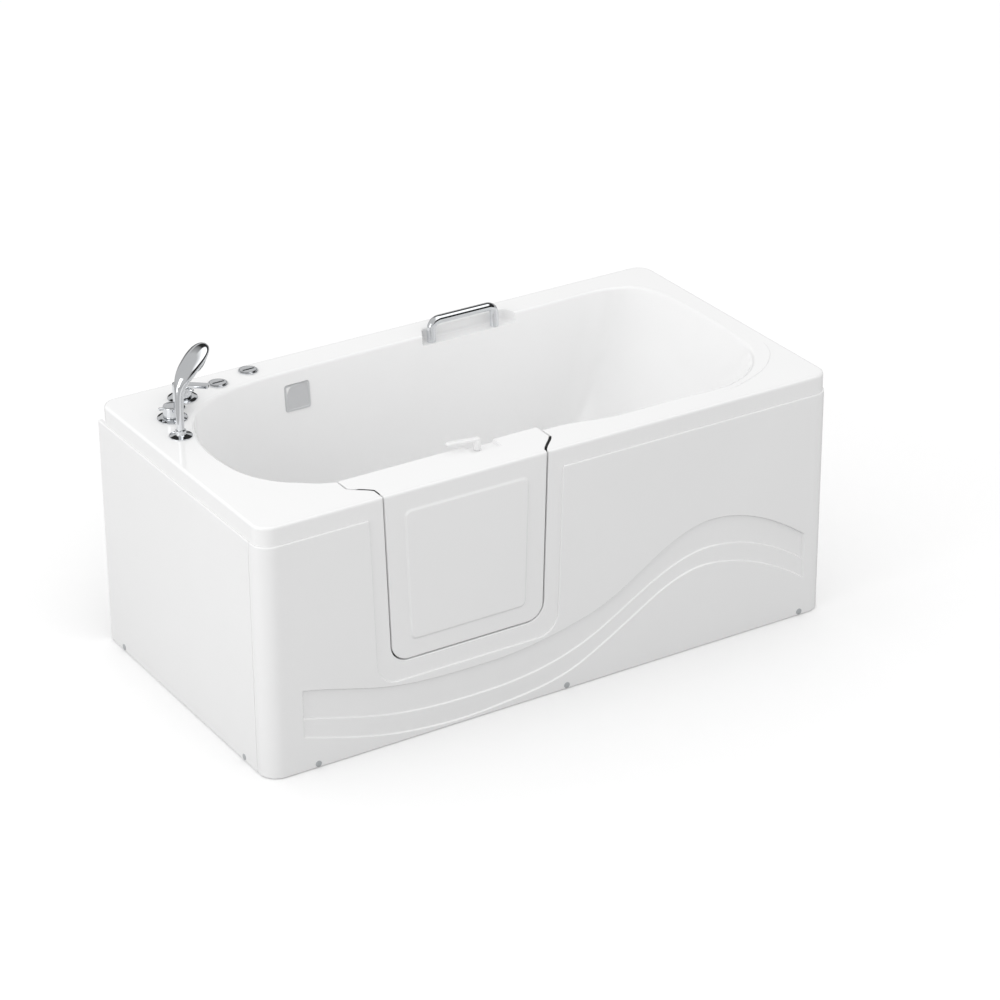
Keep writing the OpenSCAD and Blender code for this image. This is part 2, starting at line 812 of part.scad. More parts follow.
// A strap that hangs from the frame, with a boss that takes a panel screw.
module bracket() {
    reach = frame_inset;
    difference() {
        union() {
            translate([-15, -screw_z + 4, -reach - panel_t]) cube([30, rail_z + tube - 8, 3]);
            translate([0, 0, -reach - panel_t]) cylinder(r = boss_r, h = reach);
        }
        translate([0, 0, -reach - panel_t - over]) cylinder(r = screw_r + running, h = reach + 2 * over);
    }
}

module panel_brackets() {
    color("silver") place() {
        front_screw_places() bracket();
        for (y = end_screws) {
            translate([-panel_t, y, screw_z]) rotate([90, 0, -90]) bracket();
            translate([rim_l + panel_t, y, screw_z]) rotate([90, 0, 90]) bracket();
        }
    }
}

module panel_screws() {
    color("lightgray") place() all_screw_places() {
        cylinder(r = 2 * screw_r, h = cap_t - 0.6);
        translate([0, 0, -panel_t - 10]) cylinder(r = screw_r, h = panel_t + 10);
    }
}

module screw_caps() {
    color("gainsboro") place() all_screw_places() difference() {
        union() {
            cylinder(r = cap_r, h = cap_t - 0.8);
            translate([0, 0, cap_t - 0.8]) cylinder(r1 = cap_r, r2 = cap_r - 1.5, h = 0.8);
        }
        translate([0, 0, -over]) cylinder(r = 2 * screw_r + 0.3, h = over + cap_t - 0.5);
    }
}

// ---------------------------------------------------------------- grab bar

module grab_bar() {
    color("silver") place() translate([grab_x, grab_y, shelf_z]) {
        for (x = [0, grab_l]) {
            translate([x, 0, 0]) cylinder(r = grab_r, h = grab_h - grab_bend);
            translate([x, 0, -skin_t - nut_t - 4]) cylinder(r = stud_r, h = skin_t + nut_t + 4);
        }
        translate([grab_bend, 0, grab_h - grab_bend]) rotate([90, 0, 0]) rotate([0, 0, 90])
            rotate_extrude(angle = 90) translate([grab_bend, 0]) circle(r = grab_r);
        translate([grab_l - grab_bend, 0, grab_h - grab_bend]) rotate([90, 0, 0])
            rotate_extrude(angle = 90) translate([grab_bend, 0]) circle(r = grab_r);
        translate([grab_bend, 0, grab_h]) rotate([0, 90, 0]) cylinder(r = grab_r, h = grab_l - 2 * grab_bend);
    }
}

module grab_bar_nuts() {
    z = shelf_z - skin_t;
    color("lightgray") place() for (x = [grab_x, grab_x + grab_l]) {
        ring([x, grab_y], 8, stud_r + running, z - 1.6, z);
        hex_nut([x, grab_y], 13, stud_r + running, z - 1.6 - nut_t, z - 1.6);
    }
}

// ---------------------------------------------------------------- waste and overflow

module overflow_plate() {
    half = plate_w / 2;
    square_box = [-half, half, -half, half];
    color("gainsboro") place() overflow_axis() mirror([0, 0, 1]) difference() {
        linear_extrude(plate_t) polygon(rounded_box(square_box, [8, 8, 8, 8]));
        translate([0, 0, plate_t - 2]) linear_extrude(2 + over)
            polygon(rounded_box(grown(square_box, -6), [4, 4, 4, 4]));
        translate([-half + 12, half - 8, -over]) cube([plate_w - 24, 8 + over, over + plate_t - 4]);
        translate([0, 0, -over]) cylinder(r = overflow_r - 2, h = over + plate_t - 4);
    }
}

module overflow_elbow() {
    wall = skin_t * cos(back_tilt);
    color("dimgray") place() difference() {
        union() {
            overflow_axis() {
                cylinder(r = overflow_r - 0.3, h = wall + 2);
                translate([0, 0, wall]) cylinder(r = overflow_r + 6, h = 8);
            }
            translate([waste_x, pipe_y, overflow_z]) rotate([90, 0, 0])
                cylinder(r = pipe_r + 3, h = pipe_y - overflow_y - 14);
            translate([waste_x, pipe_y, overflow_z]) sphere(r = pipe_r + 3);
            rod([waste_x, pipe_y], pipe_r + 3, overflow_z - 40, overflow_z);
        }
        overflow_axis() translate([0, 0, -over]) cylinder(r = pipe_r - 3, h = pipe_y - overflow_y + over);
        rod([waste_x, pipe_y], pipe_r - 3, overflow_z - 26, overflow_z);
        rod([waste_x, pipe_y], pipe_r + running, overflow_z - 40 - over, overflow_z - 25);
    }
}

module overflow_pipe() {
    bend_r = pipe_r + 14;
    color("dimgray") place() difference() {
        union() {
            rod([waste_x, pipe_y], pipe_r, trap_z + bend_r, overflow_z - 25);
            pipe_turn(bend_r, pipe_r);
            translate([waste_x, pipe_y - bend_r, trap_z]) rotate([90, 0, 0])
                cylinder(r = pipe_r, h = pipe_y - bend_r - waste[1] - trap_r);
        }
        rod([waste_x, pipe_y], pipe_r - 2, trap_z + bend_r, overflow_z - 25 + over);
        pipe_turn(bend_r, pipe_r - 2);
        translate([waste_x, pipe_y - bend_r, trap_z]) rotate([90, 0, 0])
            cylinder(r = pipe_r - 2, h = pipe_y - bend_r - waste[1] - trap_r + over);
    }
}

module pipe_turn(bend_r, r) {
    translate([waste_x, pipe_y - bend_r, trap_z + bend_r]) rotate([0, 0, 90]) rotate([90, 0, 0])
        rotate([0, 0, -90]) rotate_extrude(angle = 90) translate([bend_r, 0]) circle(r = r);
}

module waste_body() {
    tail_end = trap_z + pipe_r;
    color("silver") place() difference() {
        union() {
            rod(waste, tail_r, tail_end, floor_h);
            rod(waste, waste_r, floor_h, floor_h + 2.5);
        }
        rod(waste, tail_r - 3, tail_end - over, floor_h + 3 + over);
    }
    color("silver") place() {
        ring(waste, stem_r + 3, stem_r + running, floor_h - 14, floor_h - 8);
        for (a = [0:90:270]) translate([waste[0], waste[1], floor_h - 14]) rotate([0, 0, a])
            translate([stem_r + 2.5, -1.5, 0]) cube([tail_r - stem_r - 5, 3, 6]);
    }
}

module waste_nut() {
    z = floor_h - skin_t;
    color("lightgray") place() hex_nut(waste, 2 * tail_r + 16, tail_r + running, z - nut_t - 2, z);
}

module waste_plug() {
    top = floor_h + 2.5;
    color("silver") place() {
        rod(waste, stem_r, floor_h - 40, top + 1);
        translate([waste[0], waste[1], top + 0.3]) {
            cylinder(r = waste_r - 4, h = 2);
            translate([0, 0, 2]) cylinder(r1 = waste_r - 4, r2 = waste_r - 10, h = 2);
        }
    }
}

// The trap's outlet: out towards the tap end, round a bend and back; extra lengthens its end.
module outlet(r, extra) {
    x = waste[0] - outlet_out;
    translate([x + outlet_turn, waste[1], trap_z]) rotate([0, 90, 0])
        cylinder(r = r, h = outlet_out - outlet_turn - trap_r / 2);
    translate([x + outlet_turn, waste[1] + outlet_turn, trap_z]) rotate([0, 0, 180])
        rotate_extrude(angle = 90) translate([outlet_turn, 0]) circle(r = r);
    translate([x, waste[1] + outlet_turn, trap_z]) rotate([-90, 0, 0])
        cylinder(r = r, h = outlet_run + extra);
}

module waste_trap() {
    top = trap_z + pipe_r;
    collar_y = waste[1] + outlet_turn + outlet_run - outlet_free;
    color("dimgray") place() difference() {
        union() {
            rod(waste, trap_r, trap_z - 30, top);
            outlet(outlet_r, 0);
            translate([waste[0] - outlet_out, collar_y - 6, trap_z]) rotate([-90, 0, 0])
                cylinder(r = outlet_r + 4, h = 6);
        }
        rod(waste, trap_r - 3, trap_z - 27, top - 4);
        rod(waste, tail_r - 3, top - 5, top + over);
        outlet(outlet_r - 2.5, over);
        translate([waste[0], waste[1] + trap_r + over, trap_z]) rotate([90, 0, 0])
            cylinder(r = pipe_r - 2, h = trap_r / 2);
    }
}

// ---------------------------------------------------------------- taps, spout and knobs

module tap_flanges() {
    color("silver") place() for (p = [front_tap_at, rear_tap_at])
        translate([p[0], p[1], deck_h]) difference() {
        union() {
            cylinder(r = flange_r, h = 3);
            translate([0, 0, 3]) cylinder(r1 = flange_r, r2 = flange_r - 8, h = 3);
        }
        translate([0, 0, -over]) cylinder(r = shank_r + running, h = 6 + 2 * over);
    }
}

// A cylindrical handle with a short pin; turn is the pin's direction.
module tap_handle(p, turn) {
    color("silver") place() translate([p[0], p[1], deck_h + 6.4]) {
        difference() {
            cylinder(r = handle_r, h = handle_h - 2);
            translate([0, 0, -over]) cylinder(r = shank_r - 4 + running, h = handle_h / 2 + over);
        }
        translate([0, 0, handle_h - 2]) cylinder(r1 = handle_r, r2 = handle_r - 2, h = 2);
        rotate([0, 0, turn]) translate([handle_r - 2, 0, handle_h - 8])
            rotate([0, 90, 0]) cylinder(r = 4, h = 14);
    }
}

module front_tap_handle() { tap_handle(front_tap_at, tap_angle + 110); }
module rear_tap_handle() { tap_handle(rear_tap_at, tap_angle - 110); }

// A valve with its shank through the deck, its spindle in the handle and its inlet below.
module valve(p, top) {
    neck = deck_z - nut_t - 10;
    rod(p, shank_r, neck, top);
    rod(p, tap_body_r, neck - valve_body_l, neck);
    rod(p, tap_tail_r, neck - valve_body_l - valve_tail_l, neck - valve_body_l);
}

module tap_valves() {
    color("goldenrod") place() for (p = [front_tap_at, rear_tap_at]) {
        valve(p, deck_h + 6);
        rod(p, shank_r - 4, deck_h + 6, deck_h + 6 + handle_h / 2);
    }
}

module deck_nuts() {
    color("goldenrod") place() for (p = [front_tap_at, rear_tap_at, spout_at, shower_at])
        hex_nut(p, 2 * shank_r + 12, shank_r + running, deck_z - nut_t, deck_z);
}

// A flat spout on a column, across the line between the taps.
module bath_spout() {
    color("silver") place() translate([spout_at[0], spout_at[1], deck_h])
        rotate([0, 0, tap_angle - 90]) difference() {
        union() {
            cylinder(r = flange_r / 2, h = 4);
            cylinder(r = 11, h = spout_h + 5);
            translate([0, -11, spout_h - 4]) cube([spout_reach, 22, 9]);
            translate([0, 0, -skin_t - nut_t - 14]) cylinder(r = shank_r, h = skin_t + nut_t + 14);
        }
        translate([0, 0, -skin_t - nut_t - 14 - over]) cylinder(r = 7, h = spout_h + skin_t + nut_t + 15);
        translate([0, -8, spout_h - 1.5]) cube([spout_reach + over, 16, 4]);
    }
}

module knob_rings() {
    color("silver") place() for (p = [diverter_at, control_at]) {
        ring(p, knob_r, shank_r + running, deck_h, deck_h + 2);
        ring(p, knob_r, knob_r - 4, deck_h + 2, deck_h + 4);
    }
}

module deck_knob(p) {
    color("silver") place() translate([p[0], p[1], deck_h + 2.3]) difference() {
        union() {
            cylinder(r = knob_r - 4.4, h = 3.7);
            translate([-knob_r + 8, -2, 3.7]) cube([2 * knob_r - 16, 4, 1.5]);
        }
        translate([0, 0, -over]) cylinder(r = shank_r - 4 + running, h = 2 + over);
    }
}

module diverter_knob() { deck_knob(diverter_at); }
module control_knob() { deck_knob(control_at); }

module knob_body(p, drop) {
    rod(p, shank_r, deck_z - nut_t - 6, deck_h + 2);
    rod(p, shank_r - 4, deck_h + 2, deck_h + 4);
    rod(p, tap_body_r, deck_z - drop, deck_z - nut_t - 6);
    translate([p[0], p[1], deck_z - nut_t]) cylinder(r = shank_r + 6, h = nut_t);
}

module diverter_valve() {
    color("goldenrod") place() {
        knob_body(diverter_at, 52);
        rod(diverter_at, tap_tail_r, deck_z - 70, deck_z - 52);
    }
}

module control_body() { color("dimgray") place() knob_body(control_at, 40); }

// ---------------------------------------------------------------- hand shower

grip_seat = 18;             // height of the holder's socket above the deck
lean_turn = 20;             // direction in which the head leans, from the x axis
spray_r = 19;               // radius of the spray face
spray_out = 11;             // depth of the spray face's seat below the head's middle
lean = 66;                  // how far the middle of the head leans out from the handle

module shower_holder() {
    color("silver") place() translate([shower_at[0], shower_at[1], deck_h]) difference() {
        union() {
            cylinder(r = holder_r, h = 2.5);
            translate([0, 0, 2.5]) cylinder(r1 = holder_r, r2 = grip_r + 5, h = 4);
            cylinder(r = grip_r + 4, h = grip_seat);
            translate([0, 0, -skin_t - nut_t - 12]) cylinder(r = shank_r, h = skin_t + nut_t + 12);
        }
        cylinder(r = grip_r + running, h = grip_seat + over);
        translate([0, 0, -skin_t - nut_t - 12 - over]) cylinder(r = 8, h = 40);
    }
}

module shower_frame() {
    place() translate([shower_at[0], shower_at[1], deck_h]) rotate([0, 0, lean_turn]) children();
}

// One section of the hand shower: an ellipsoid-like disc of radius r at x and z.
module head_slice(x, z, r, tilt, flat) {
    translate([x, 0, z]) rotate([0, tilt, 0]) scale([flat, 1, 1]) sphere(r = r, $fn = 24);
}

// The head's underside, where the spray face sits.
module spray_seat() {
    translate([lean, 0, shower_h - 32]) rotate([0, 140, 0]) children();
}

module hand_shower() {
    head = shower_h - 84;
    color("silver") shower_frame() difference() {
        hand_shower_body(head);
        spray_seat() translate([0, 0, spray_out]) cylinder(r = spray_r + 0.3, h = 14);
    }
}

module hand_shower_body(head) {
    union() {
        cylinder(r = grip_r, h = grip_seat + 10);
        translate([0, 0, grip_seat + 10]) cylinder(r1 = grip_r, r2 = grip_r + 1, h = head - grip_seat - 40);
        hull() {
            translate([0, 0, head - 31]) cylinder(r = grip_r + 1, h = 1, $fn = 32);
            head_slice(9, head, 16, 35, 0.85);
        }
        hull() {
            head_slice(9, head, 16, 35, 0.85);
            head_slice(lean / 2, head + 27, 27, 48, 0.6);
        }
        hull() {
            head_slice(lean / 2, head + 27, 27, 48, 0.6);
            head_slice(lean, head + 52, 30, 50, 0.52);
            head_slice(1.32 * lean, head + 66, 22, 50, 0.5);
        }
    }
}

module spray_face() {
    color("gray") shower_frame() spray_seat() translate([0, 0, spray_out]) {
        cylinder(r = spray_r, h = 2.5);
        translate([0, 0, 2.5]) cylinder(r1 = spray_r, r2 = spray_r - 1, h = 1);
    }
}

// ---------------------------------------------------------------- door

module door_seal() {
    start = min(flare_start) + seal_t + 6;
    stop = min(flare_stop);
    color("darkslategray") place() difference() {
        intersection() {
            plug(door_gap - 0.05, 0, 0, door_depth, deck_h - 1);
            box(0, rim_l, start, stop, 0, deck_h);
        }
        plug(0.6, seal_t - 0.6, -over, door_depth, deck_h + over);
    }
}

split_y = flare_stop[0] + seal_t + 1;

module door_outer_skin() {
    color("white") place() difference() {
        union() {
            plug(0, seal_t, 0, split_y, deck_h);
            along_y(-field_proud, over) polygon(field_outline());
        }
        plug(-door_skin, seal_t + door_skin / 2, door_skin, door_depth, deck_h - door_top_t);
    }
}

function field_outline() =
    let (top = deck_h - field_margin, foot = door_foot + field_margin - 4,
         high = door_side(top, -field_margin) - door_x, low = door_side(foot, -field_margin) - door_x)
    rounded([[door_x - high, top, 14], [door_x - low, foot, 16],
             [door_x + low, foot, 16], [door_x + high, top, 14]], 6);

module door_inner_liner() {
    color("white") place() difference() {
        along_y(split_y, door_depth) polygon(plug_outline(door_flare, 0, deck_h));
        along_y(split_y - over, door_depth - door_skin)
            polygon(plug_outline(door_flare, -door_skin, deck_h - door_top_t));
        box(notch[0], notch[1], split_y - over, door_depth + over, deck_h - notch_depth, deck_h + over);
        rod(latch, spindle_r + running, deck_h - door_top_t - over, deck_h);
        translate([latch[0], bolt_y, bolt_z]) rotate([0, 90, 0])
            cylinder(r = bolt_r + running, h = inner_half);
        hinge_screw_bores(8);
    }
}

// A welded ladder of square tube inside the door, which carries the hinges.
module door_stiffener() {
    s = 20;
    y0 = door_depth - door_skin - s;
    left = hinge[0] + 22;
    right = door_x + inner_half - 60;
    z0 = door_foot + 34;
    z1 = deck_h - 78;
    color("silver") place() difference() {
        union() {
            box(left, left + s, y0, y0 + s, z0, z1);
            box(right - s, right, y0, y0 + s, z0, z1);
            for (z = [z0, z1 - s]) box(left, right, y0, y0 + s, z, z + s);
        }
        hinge_screw_bores(24);
    }
}

module hinge_screw_bores(depth) {
    for (z = hinge_z, dz = [-hinge_h / 3, hinge_h / 3])
        translate([hinge[0] + leaf_l - 12, hinge[1] - hinge_off - depth, z + dz]) rotate([-90, 0, 0])
            cylinder(r = hinge_screw_r + running, h = depth + leaf_t + over);
}

// A leaf and its knuckles; the leaf lies hinge_off below the pin along local -y.
module hinge_leaf(knuckles) {
    third = hinge_h / 3;
    for (z = hinge_z) translate([hinge[0], hinge[1], z - hinge_h / 2]) difference() {
        union() {
            translate([0, -hinge_off, 0]) cube([leaf_l, leaf_t, hinge_h]);
            for (k = knuckles) translate([0, 0, k * third + knuckle_gap]) {
                cylinder(r = knuckle_r, h = third - 2 * knuckle_gap);
                translate([0, -hinge_off, 0]) cube([knuckle_r, hinge_off, third - 2 * knuckle_gap]);
            }
        }
        for (k = [0:2]) if (len(search(k, knuckles)) == 0)
            translate([0, 0, k * third - (k == 0 ? over : 0)])
                cylinder(r = knuckle_r + leaf_t + 1, h = third + (k == 1 ? 0 : over));
        translate([0, 0, -over]) cylinder(r = hinge_pin_r + running, h = hinge_h + 2 * over);
        translate([-hinge[0], -hinge[1], hinge_h / 2 - z]) hinge_screw_bores(over);
    }
}

// Turns what is drawn for the door's side of the hinge to the wall's side.
module wall_side() {
    translate([hinge[0], hinge[1], 0]) rotate([0, 0, jamb_turn - 180]) mirror([1, 0, 0])
        translate([-hinge[0], -hinge[1], 0]) children();
}

module hinge_door_leaves() {
    color("silver") place() hinge_leaf([1]);
}

module hinge_frame_leaves() {
    color("silver") place() wall_side() hinge_leaf([0, 2]);
}

// Plates behind the wall, into which the frame leaves' screws are driven.
module hinge_backing() {
    y = hinge[1] - hinge_off - wall_behind;
    color("silver") place() wall_side() difference() {
        for (z = hinge_z) box(hinge[0] + leaf_l - 26, hinge[0] + leaf_l, y - backing_t, y,
                              z - hinge_h / 2, z + hinge_h / 2);
        hinge_screw_bores(wall_behind + backing_t + over);
    }
}

module hinge_pins() {
    color("lightgray") place() for (z = hinge_z) {
        rod(hinge, hinge_pin_r, z - hinge_h / 2, z + hinge_h / 2);
        rod(hinge, knuckle_r, z + hinge_h / 2, z + hinge_h / 2 + 3);
    }
}

module screw_set(depth) {
    for (z = hinge_z, dz = [-hinge_h / 3, hinge_h / 3])
        translate([hinge[0] + leaf_l - 12, hinge[1] - hinge_off + leaf_t, z + dz]) rotate([-90, 0, 0]) {
            cylinder(r = 2 * hinge_screw_r, h = 1.6);
            translate([0, 0, -leaf_t - depth]) cylinder(r = hinge_screw_r, h = leaf_t + depth);
        }
}

module hinge_door_screws() { color("lightgray") place() screw_set(14); }
module hinge_frame_screws() { color("lightgray") place() wall_side() screw_set(wall_behind + backing_t); }

// ---------------------------------------------------------------- latch

module latch_case() {
    top = deck_h - door_top_t;
    color("gray") place() difference() {
        box(latch[0] - case_l / 2, latch[0] + case_l / 2, bolt_y - 8, door_depth - door_skin,
            bolt_z - case_drop, top);
        box(latch[0] - case_l / 2 + 3, latch[0] + case_l / 2 - 3, bolt_y - 7, door_depth - door_skin - 3,
            bolt_z - case_drop + 3, top - 4);
        rod(latch, spindle_r + running, top - 5, top + over);
        translate([latch[0], bolt_y, bolt_z]) rotate([0, 90, 0]) cylinder(r = bolt_r + running, h = case_l);
    }
}

module latch_bolt() {
    x0 = latch[0] + 4;
    color("silver") place() translate([x0, bolt_y, bolt_z]) rotate([0, 90, 0])
        cylinder(r = bolt_r, h = bolt_rest_x - x0);
}

module latch_lever() {
    foot = deck_h - notch_depth + 0.3;
    under = deck_h + lever_rise;
    color("white") place() translate([latch[0], latch[1], 0]) rotate([0, 0, -lever_turn]) {
        rod([0, 0], lever_w / 2 + 1, foot, under);
        for (x = [0, -lever_l]) rod([x, 0], lever_w / 2, under, under + lever_t);
        box(-lever_l, 0, -lever_w / 2, lever_w / 2, under, under + lever_t);
        rod([0, 0], spindle_r, bolt_z + bolt_r + 3, foot + over);
    }
}

module strike_plate() {
    color("silver") place() strike_axis() translate([0, 0, skin_t]) difference() {
        translate([-16, -20, 0.6]) cube([32, 27, 3]);
        translate([0, 0, -over]) cylinder(r = bolt_r + 0.5, h = 3 + 3 * over);
    }
}

tub_rim();
bowl_floor();
bowl_foot();
bowl_turn();
bowl_walls();
bowl_bends();
door_surround();
grab_pocket();
base_board();
frame_rails();
frame_bearers();
frame_posts();
frame_top_rails();
foot_pads();
foot_rods();
foot_nuts();
front_apron();
left_end_panel();
right_end_panel();
panel_brackets();
panel_screws();
screw_caps();
grab_bar();
grab_bar_nuts();
overflow_plate();
overflow_elbow();
overflow_pipe();
waste_body();
waste_nut();
waste_plug();
waste_trap();
tap_flanges();
front_tap_handle();
rear_tap_handle();
tap_valves();
deck_nuts();
bath_spout();
knob_rings();
diverter_knob();
diverter_valve();
control_knob();
control_body();
shower_holder();
hand_shower();
spray_face();
door_seal();
door_outer_skin();
door_inner_liner();
door_stiffener();
hinge_frame_leaves();
hinge_door_leaves();
hinge_pins();
hinge_door_screws();
hinge_frame_screws();
hinge_backing();
latch_case();
latch_bolt();
latch_lever();
strike_plate();
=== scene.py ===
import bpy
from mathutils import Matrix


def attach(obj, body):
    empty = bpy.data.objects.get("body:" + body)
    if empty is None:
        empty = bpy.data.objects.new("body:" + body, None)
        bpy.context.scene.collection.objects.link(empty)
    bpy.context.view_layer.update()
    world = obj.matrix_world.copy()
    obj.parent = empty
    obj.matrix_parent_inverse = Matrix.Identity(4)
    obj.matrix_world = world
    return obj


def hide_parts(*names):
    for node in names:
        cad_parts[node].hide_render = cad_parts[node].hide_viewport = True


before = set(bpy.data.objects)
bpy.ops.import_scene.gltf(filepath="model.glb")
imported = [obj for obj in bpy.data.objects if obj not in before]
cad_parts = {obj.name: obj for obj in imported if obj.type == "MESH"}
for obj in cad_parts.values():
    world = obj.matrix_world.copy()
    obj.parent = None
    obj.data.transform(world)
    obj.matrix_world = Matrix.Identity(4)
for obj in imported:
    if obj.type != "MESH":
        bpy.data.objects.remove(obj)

"""Looks of a white walk-in bathtub with a plug door in its front.

Lengths in the classes are millimetres in the tub's own corner frame: x runs from the tap end
of the rim, y from the front face of the rim and z from the floor. One function turns them into
the frame's metres. Surfaces are grids of points worked out with numpy.
"""
import logging
import math
from dataclasses import dataclass
from enum import Enum
from typing import Iterable, Sequence

import bmesh
import bpy
import numpy as np
from mathutils import Matrix, Vector

LOG = logging.getLogger("bathtub")
Array = np.ndarray

CORNER = np.array([-850.0, -435.0, 0.0])  # place of the rim's front corner in the frame
# Main sizes of the rim, the door and the panels.
RIM_L, RIM_W, DECK, LIP, SKIN = 1700.0, 876.0, 700.0, 648.0, 6.0
CORNER_R = 45.0
EDGE_R = 8.0
DOOR_X, DOOR_HALF, DOOR_FOOT, DOOR_CORNER = 582.0, 237.0, 231.0, 48.0
DOOR_TAPER, DOOR_FLARE, DOOR_DEPTH, DOOR_GAP = 0.032, 53.0, 137.0, 4.0
PANEL_T, PANEL_FOOT = 4.0, 2.0
# Axes of what stands in the deck, of the waste, of the overflow and of the door's latch.
FRONT_TAP, REAR_TAP, SHOWER = (116.0, 682.0), (194.0, 777.0), (85.0, 575.0)
DIVERTER, CONTROL = (312.0, 805.0), (417.0, 835.0)
BAR_X, BAR_Y, SHELF = (957.0, 1157.0), 797.5, 670.0
WASTE, OVERFLOW_X, OVERFLOW_Z = (528.0, 600.0), 528.0, 623.0
LATCH, BOLT_Y, BOLT_Z = (686.0, 121.0), 104.0, 662.0
WHITE = (1.0, 1.0, 1.0, 1.0)
SHARP_EDGE = math.radians(32)  # edges with a larger angle aren't shaded over


# ------------------------------------------------------------------ finishes

def linear(colour: str) -> tuple[float, float, float, float]:
    """Linear colour from sRGB: c / 12.92 in the dark, else ((c + 0.055) / 1.055) ^ 2.4.

    Args:
        colour: a hash and six hex digits.

    Returns:
        Red, green, blue and an alpha of 1.
    """
    parts = [int(colour[i:i + 2], 16) / 255 for i in (1, 3, 5)]
    lin = [c / 12.92 if c <= 0.04045 else ((c + 0.055) / 1.055) ** 2.4 for c in parts]
    return (lin[0], lin[1], lin[2], 1.0)


def add_node(tree: bpy.types.NodeTree, kind: str, settings: dict[str, object] | None = None,
             inputs: dict[object, object] | None = None) -> bpy.types.Node:
    """Adds one node.

    Args:
        tree: the tree that gets the node.
        kind: the node's type name.
        settings: attributes of the node itself.
        inputs: values or output sockets for its inputs, by name or number.

    Returns:
        The new node.
    """
    node = tree.nodes.new(kind)
    for key, value in (settings or {}).items():
        setattr(node, key, value)
    for key, value in (inputs or {}).items():
        if isinstance(value, bpy.types.NodeSocket):
            tree.links.new(value, node.inputs[key])
        else:
            node.inputs[key].default_value = value
    return node


def empty_tree(owner: bpy.types.Material | bpy.types.World) -> bpy.types.NodeTree:
    """The owner's node tree, with nothing in it.

    Args:
        owner: the material or world.

    Returns:
        The emptied tree.
    """
    owner.use_nodes = True
    owner.node_tree.nodes.clear()
    return owner.node_tree


@dataclass(frozen=True)
class Finish:
    """A surface finish: its colours, its gloss and the size of its fine texture.

    light and dark are the two ends of the slow change in tone over tone_mm, rough is the lowest
    and highest roughness over rough_mm, and bump_mm is the height of the texture of grain_mm.
    stretch draws the grain out along x, y and z.
    """

    name: str
    light: str
    dark: str
    rough: tuple[float, float]
    tone_mm: float = 120.0
    rough_mm: float = 30.0
    grain_mm: float = 4.0
    bump_mm: float = 0.01
    metallic: float = 0.0
    ior: float = 1.5
    stretch: tuple[float, float, float] = (1.0, 1.0, 1.0)

    def build(self) -> bpy.types.Material:
        """Makes the material, or returns the one that was made before.

        Returns:
            The material: two tones, roughness and a fine relief, each from noise on
            Object coordinates.
        """
        ready = bpy.data.materials.get(self.name)
        if ready:
            return ready
        mat = bpy.data.materials.new(self.name)
        mat.use_nodes = True
        tree = mat.node_tree
        shader = tree.nodes["Principled BSDF"]
        place = add_node(tree, "ShaderNodeTexCoord").outputs["Object"]
        lay = add_node(tree, "ShaderNodeMapping", {}, {"Vector": place, "Scale": self.stretch})
        tone = self.noise(tree, lay.outputs[0], self.tone_mm, 3.0)
        mix = add_node(tree, "ShaderNodeMix", {"data_type": "RGBA"},
                       {0: tone, 6: linear(self.dark), 7: linear(self.light)})
        tree.links.new(mix.outputs[2], shader.inputs["Base Color"])
        wear = add_node(tree, "ShaderNodeMapRange", {}, {
            0: self.noise(tree, lay.outputs[0], self.rough_mm, 4.0), 1: 0.3, 2: 0.7,
            3: self.rough[0], 4: self.rough[1]})
        tree.links.new(wear.outputs[0], shader.inputs["Roughness"])
        bump = add_node(tree, "ShaderNodeBump", {}, {
            "Strength": 1.0, "Distance": self.bump_mm / 1000,
            "Height": self.noise(tree, lay.outputs[0], self.grain_mm, 2.0)})
        tree.links.new(bump.outputs[0], shader.inputs["Normal"])
        shader.inputs["Metallic"].default_value = self.metallic
        shader.inputs["IOR"].default_value = self.ior
        mat.diffuse_color = linear(self.light)
        return mat

    @staticmethod
    def noise(tree: bpy.types.NodeTree, place: bpy.types.NodeSocket, size: float,
              detail: float) -> bpy.types.NodeSocket:
        """Noise whose lumps are about size millimetres across."""
        return add_node(tree, "ShaderNodeTexNoise", {}, {
            "Vector": place, "Scale": 1000 / size, "Detail": detail, "Roughness": 0.5}).outputs[0]


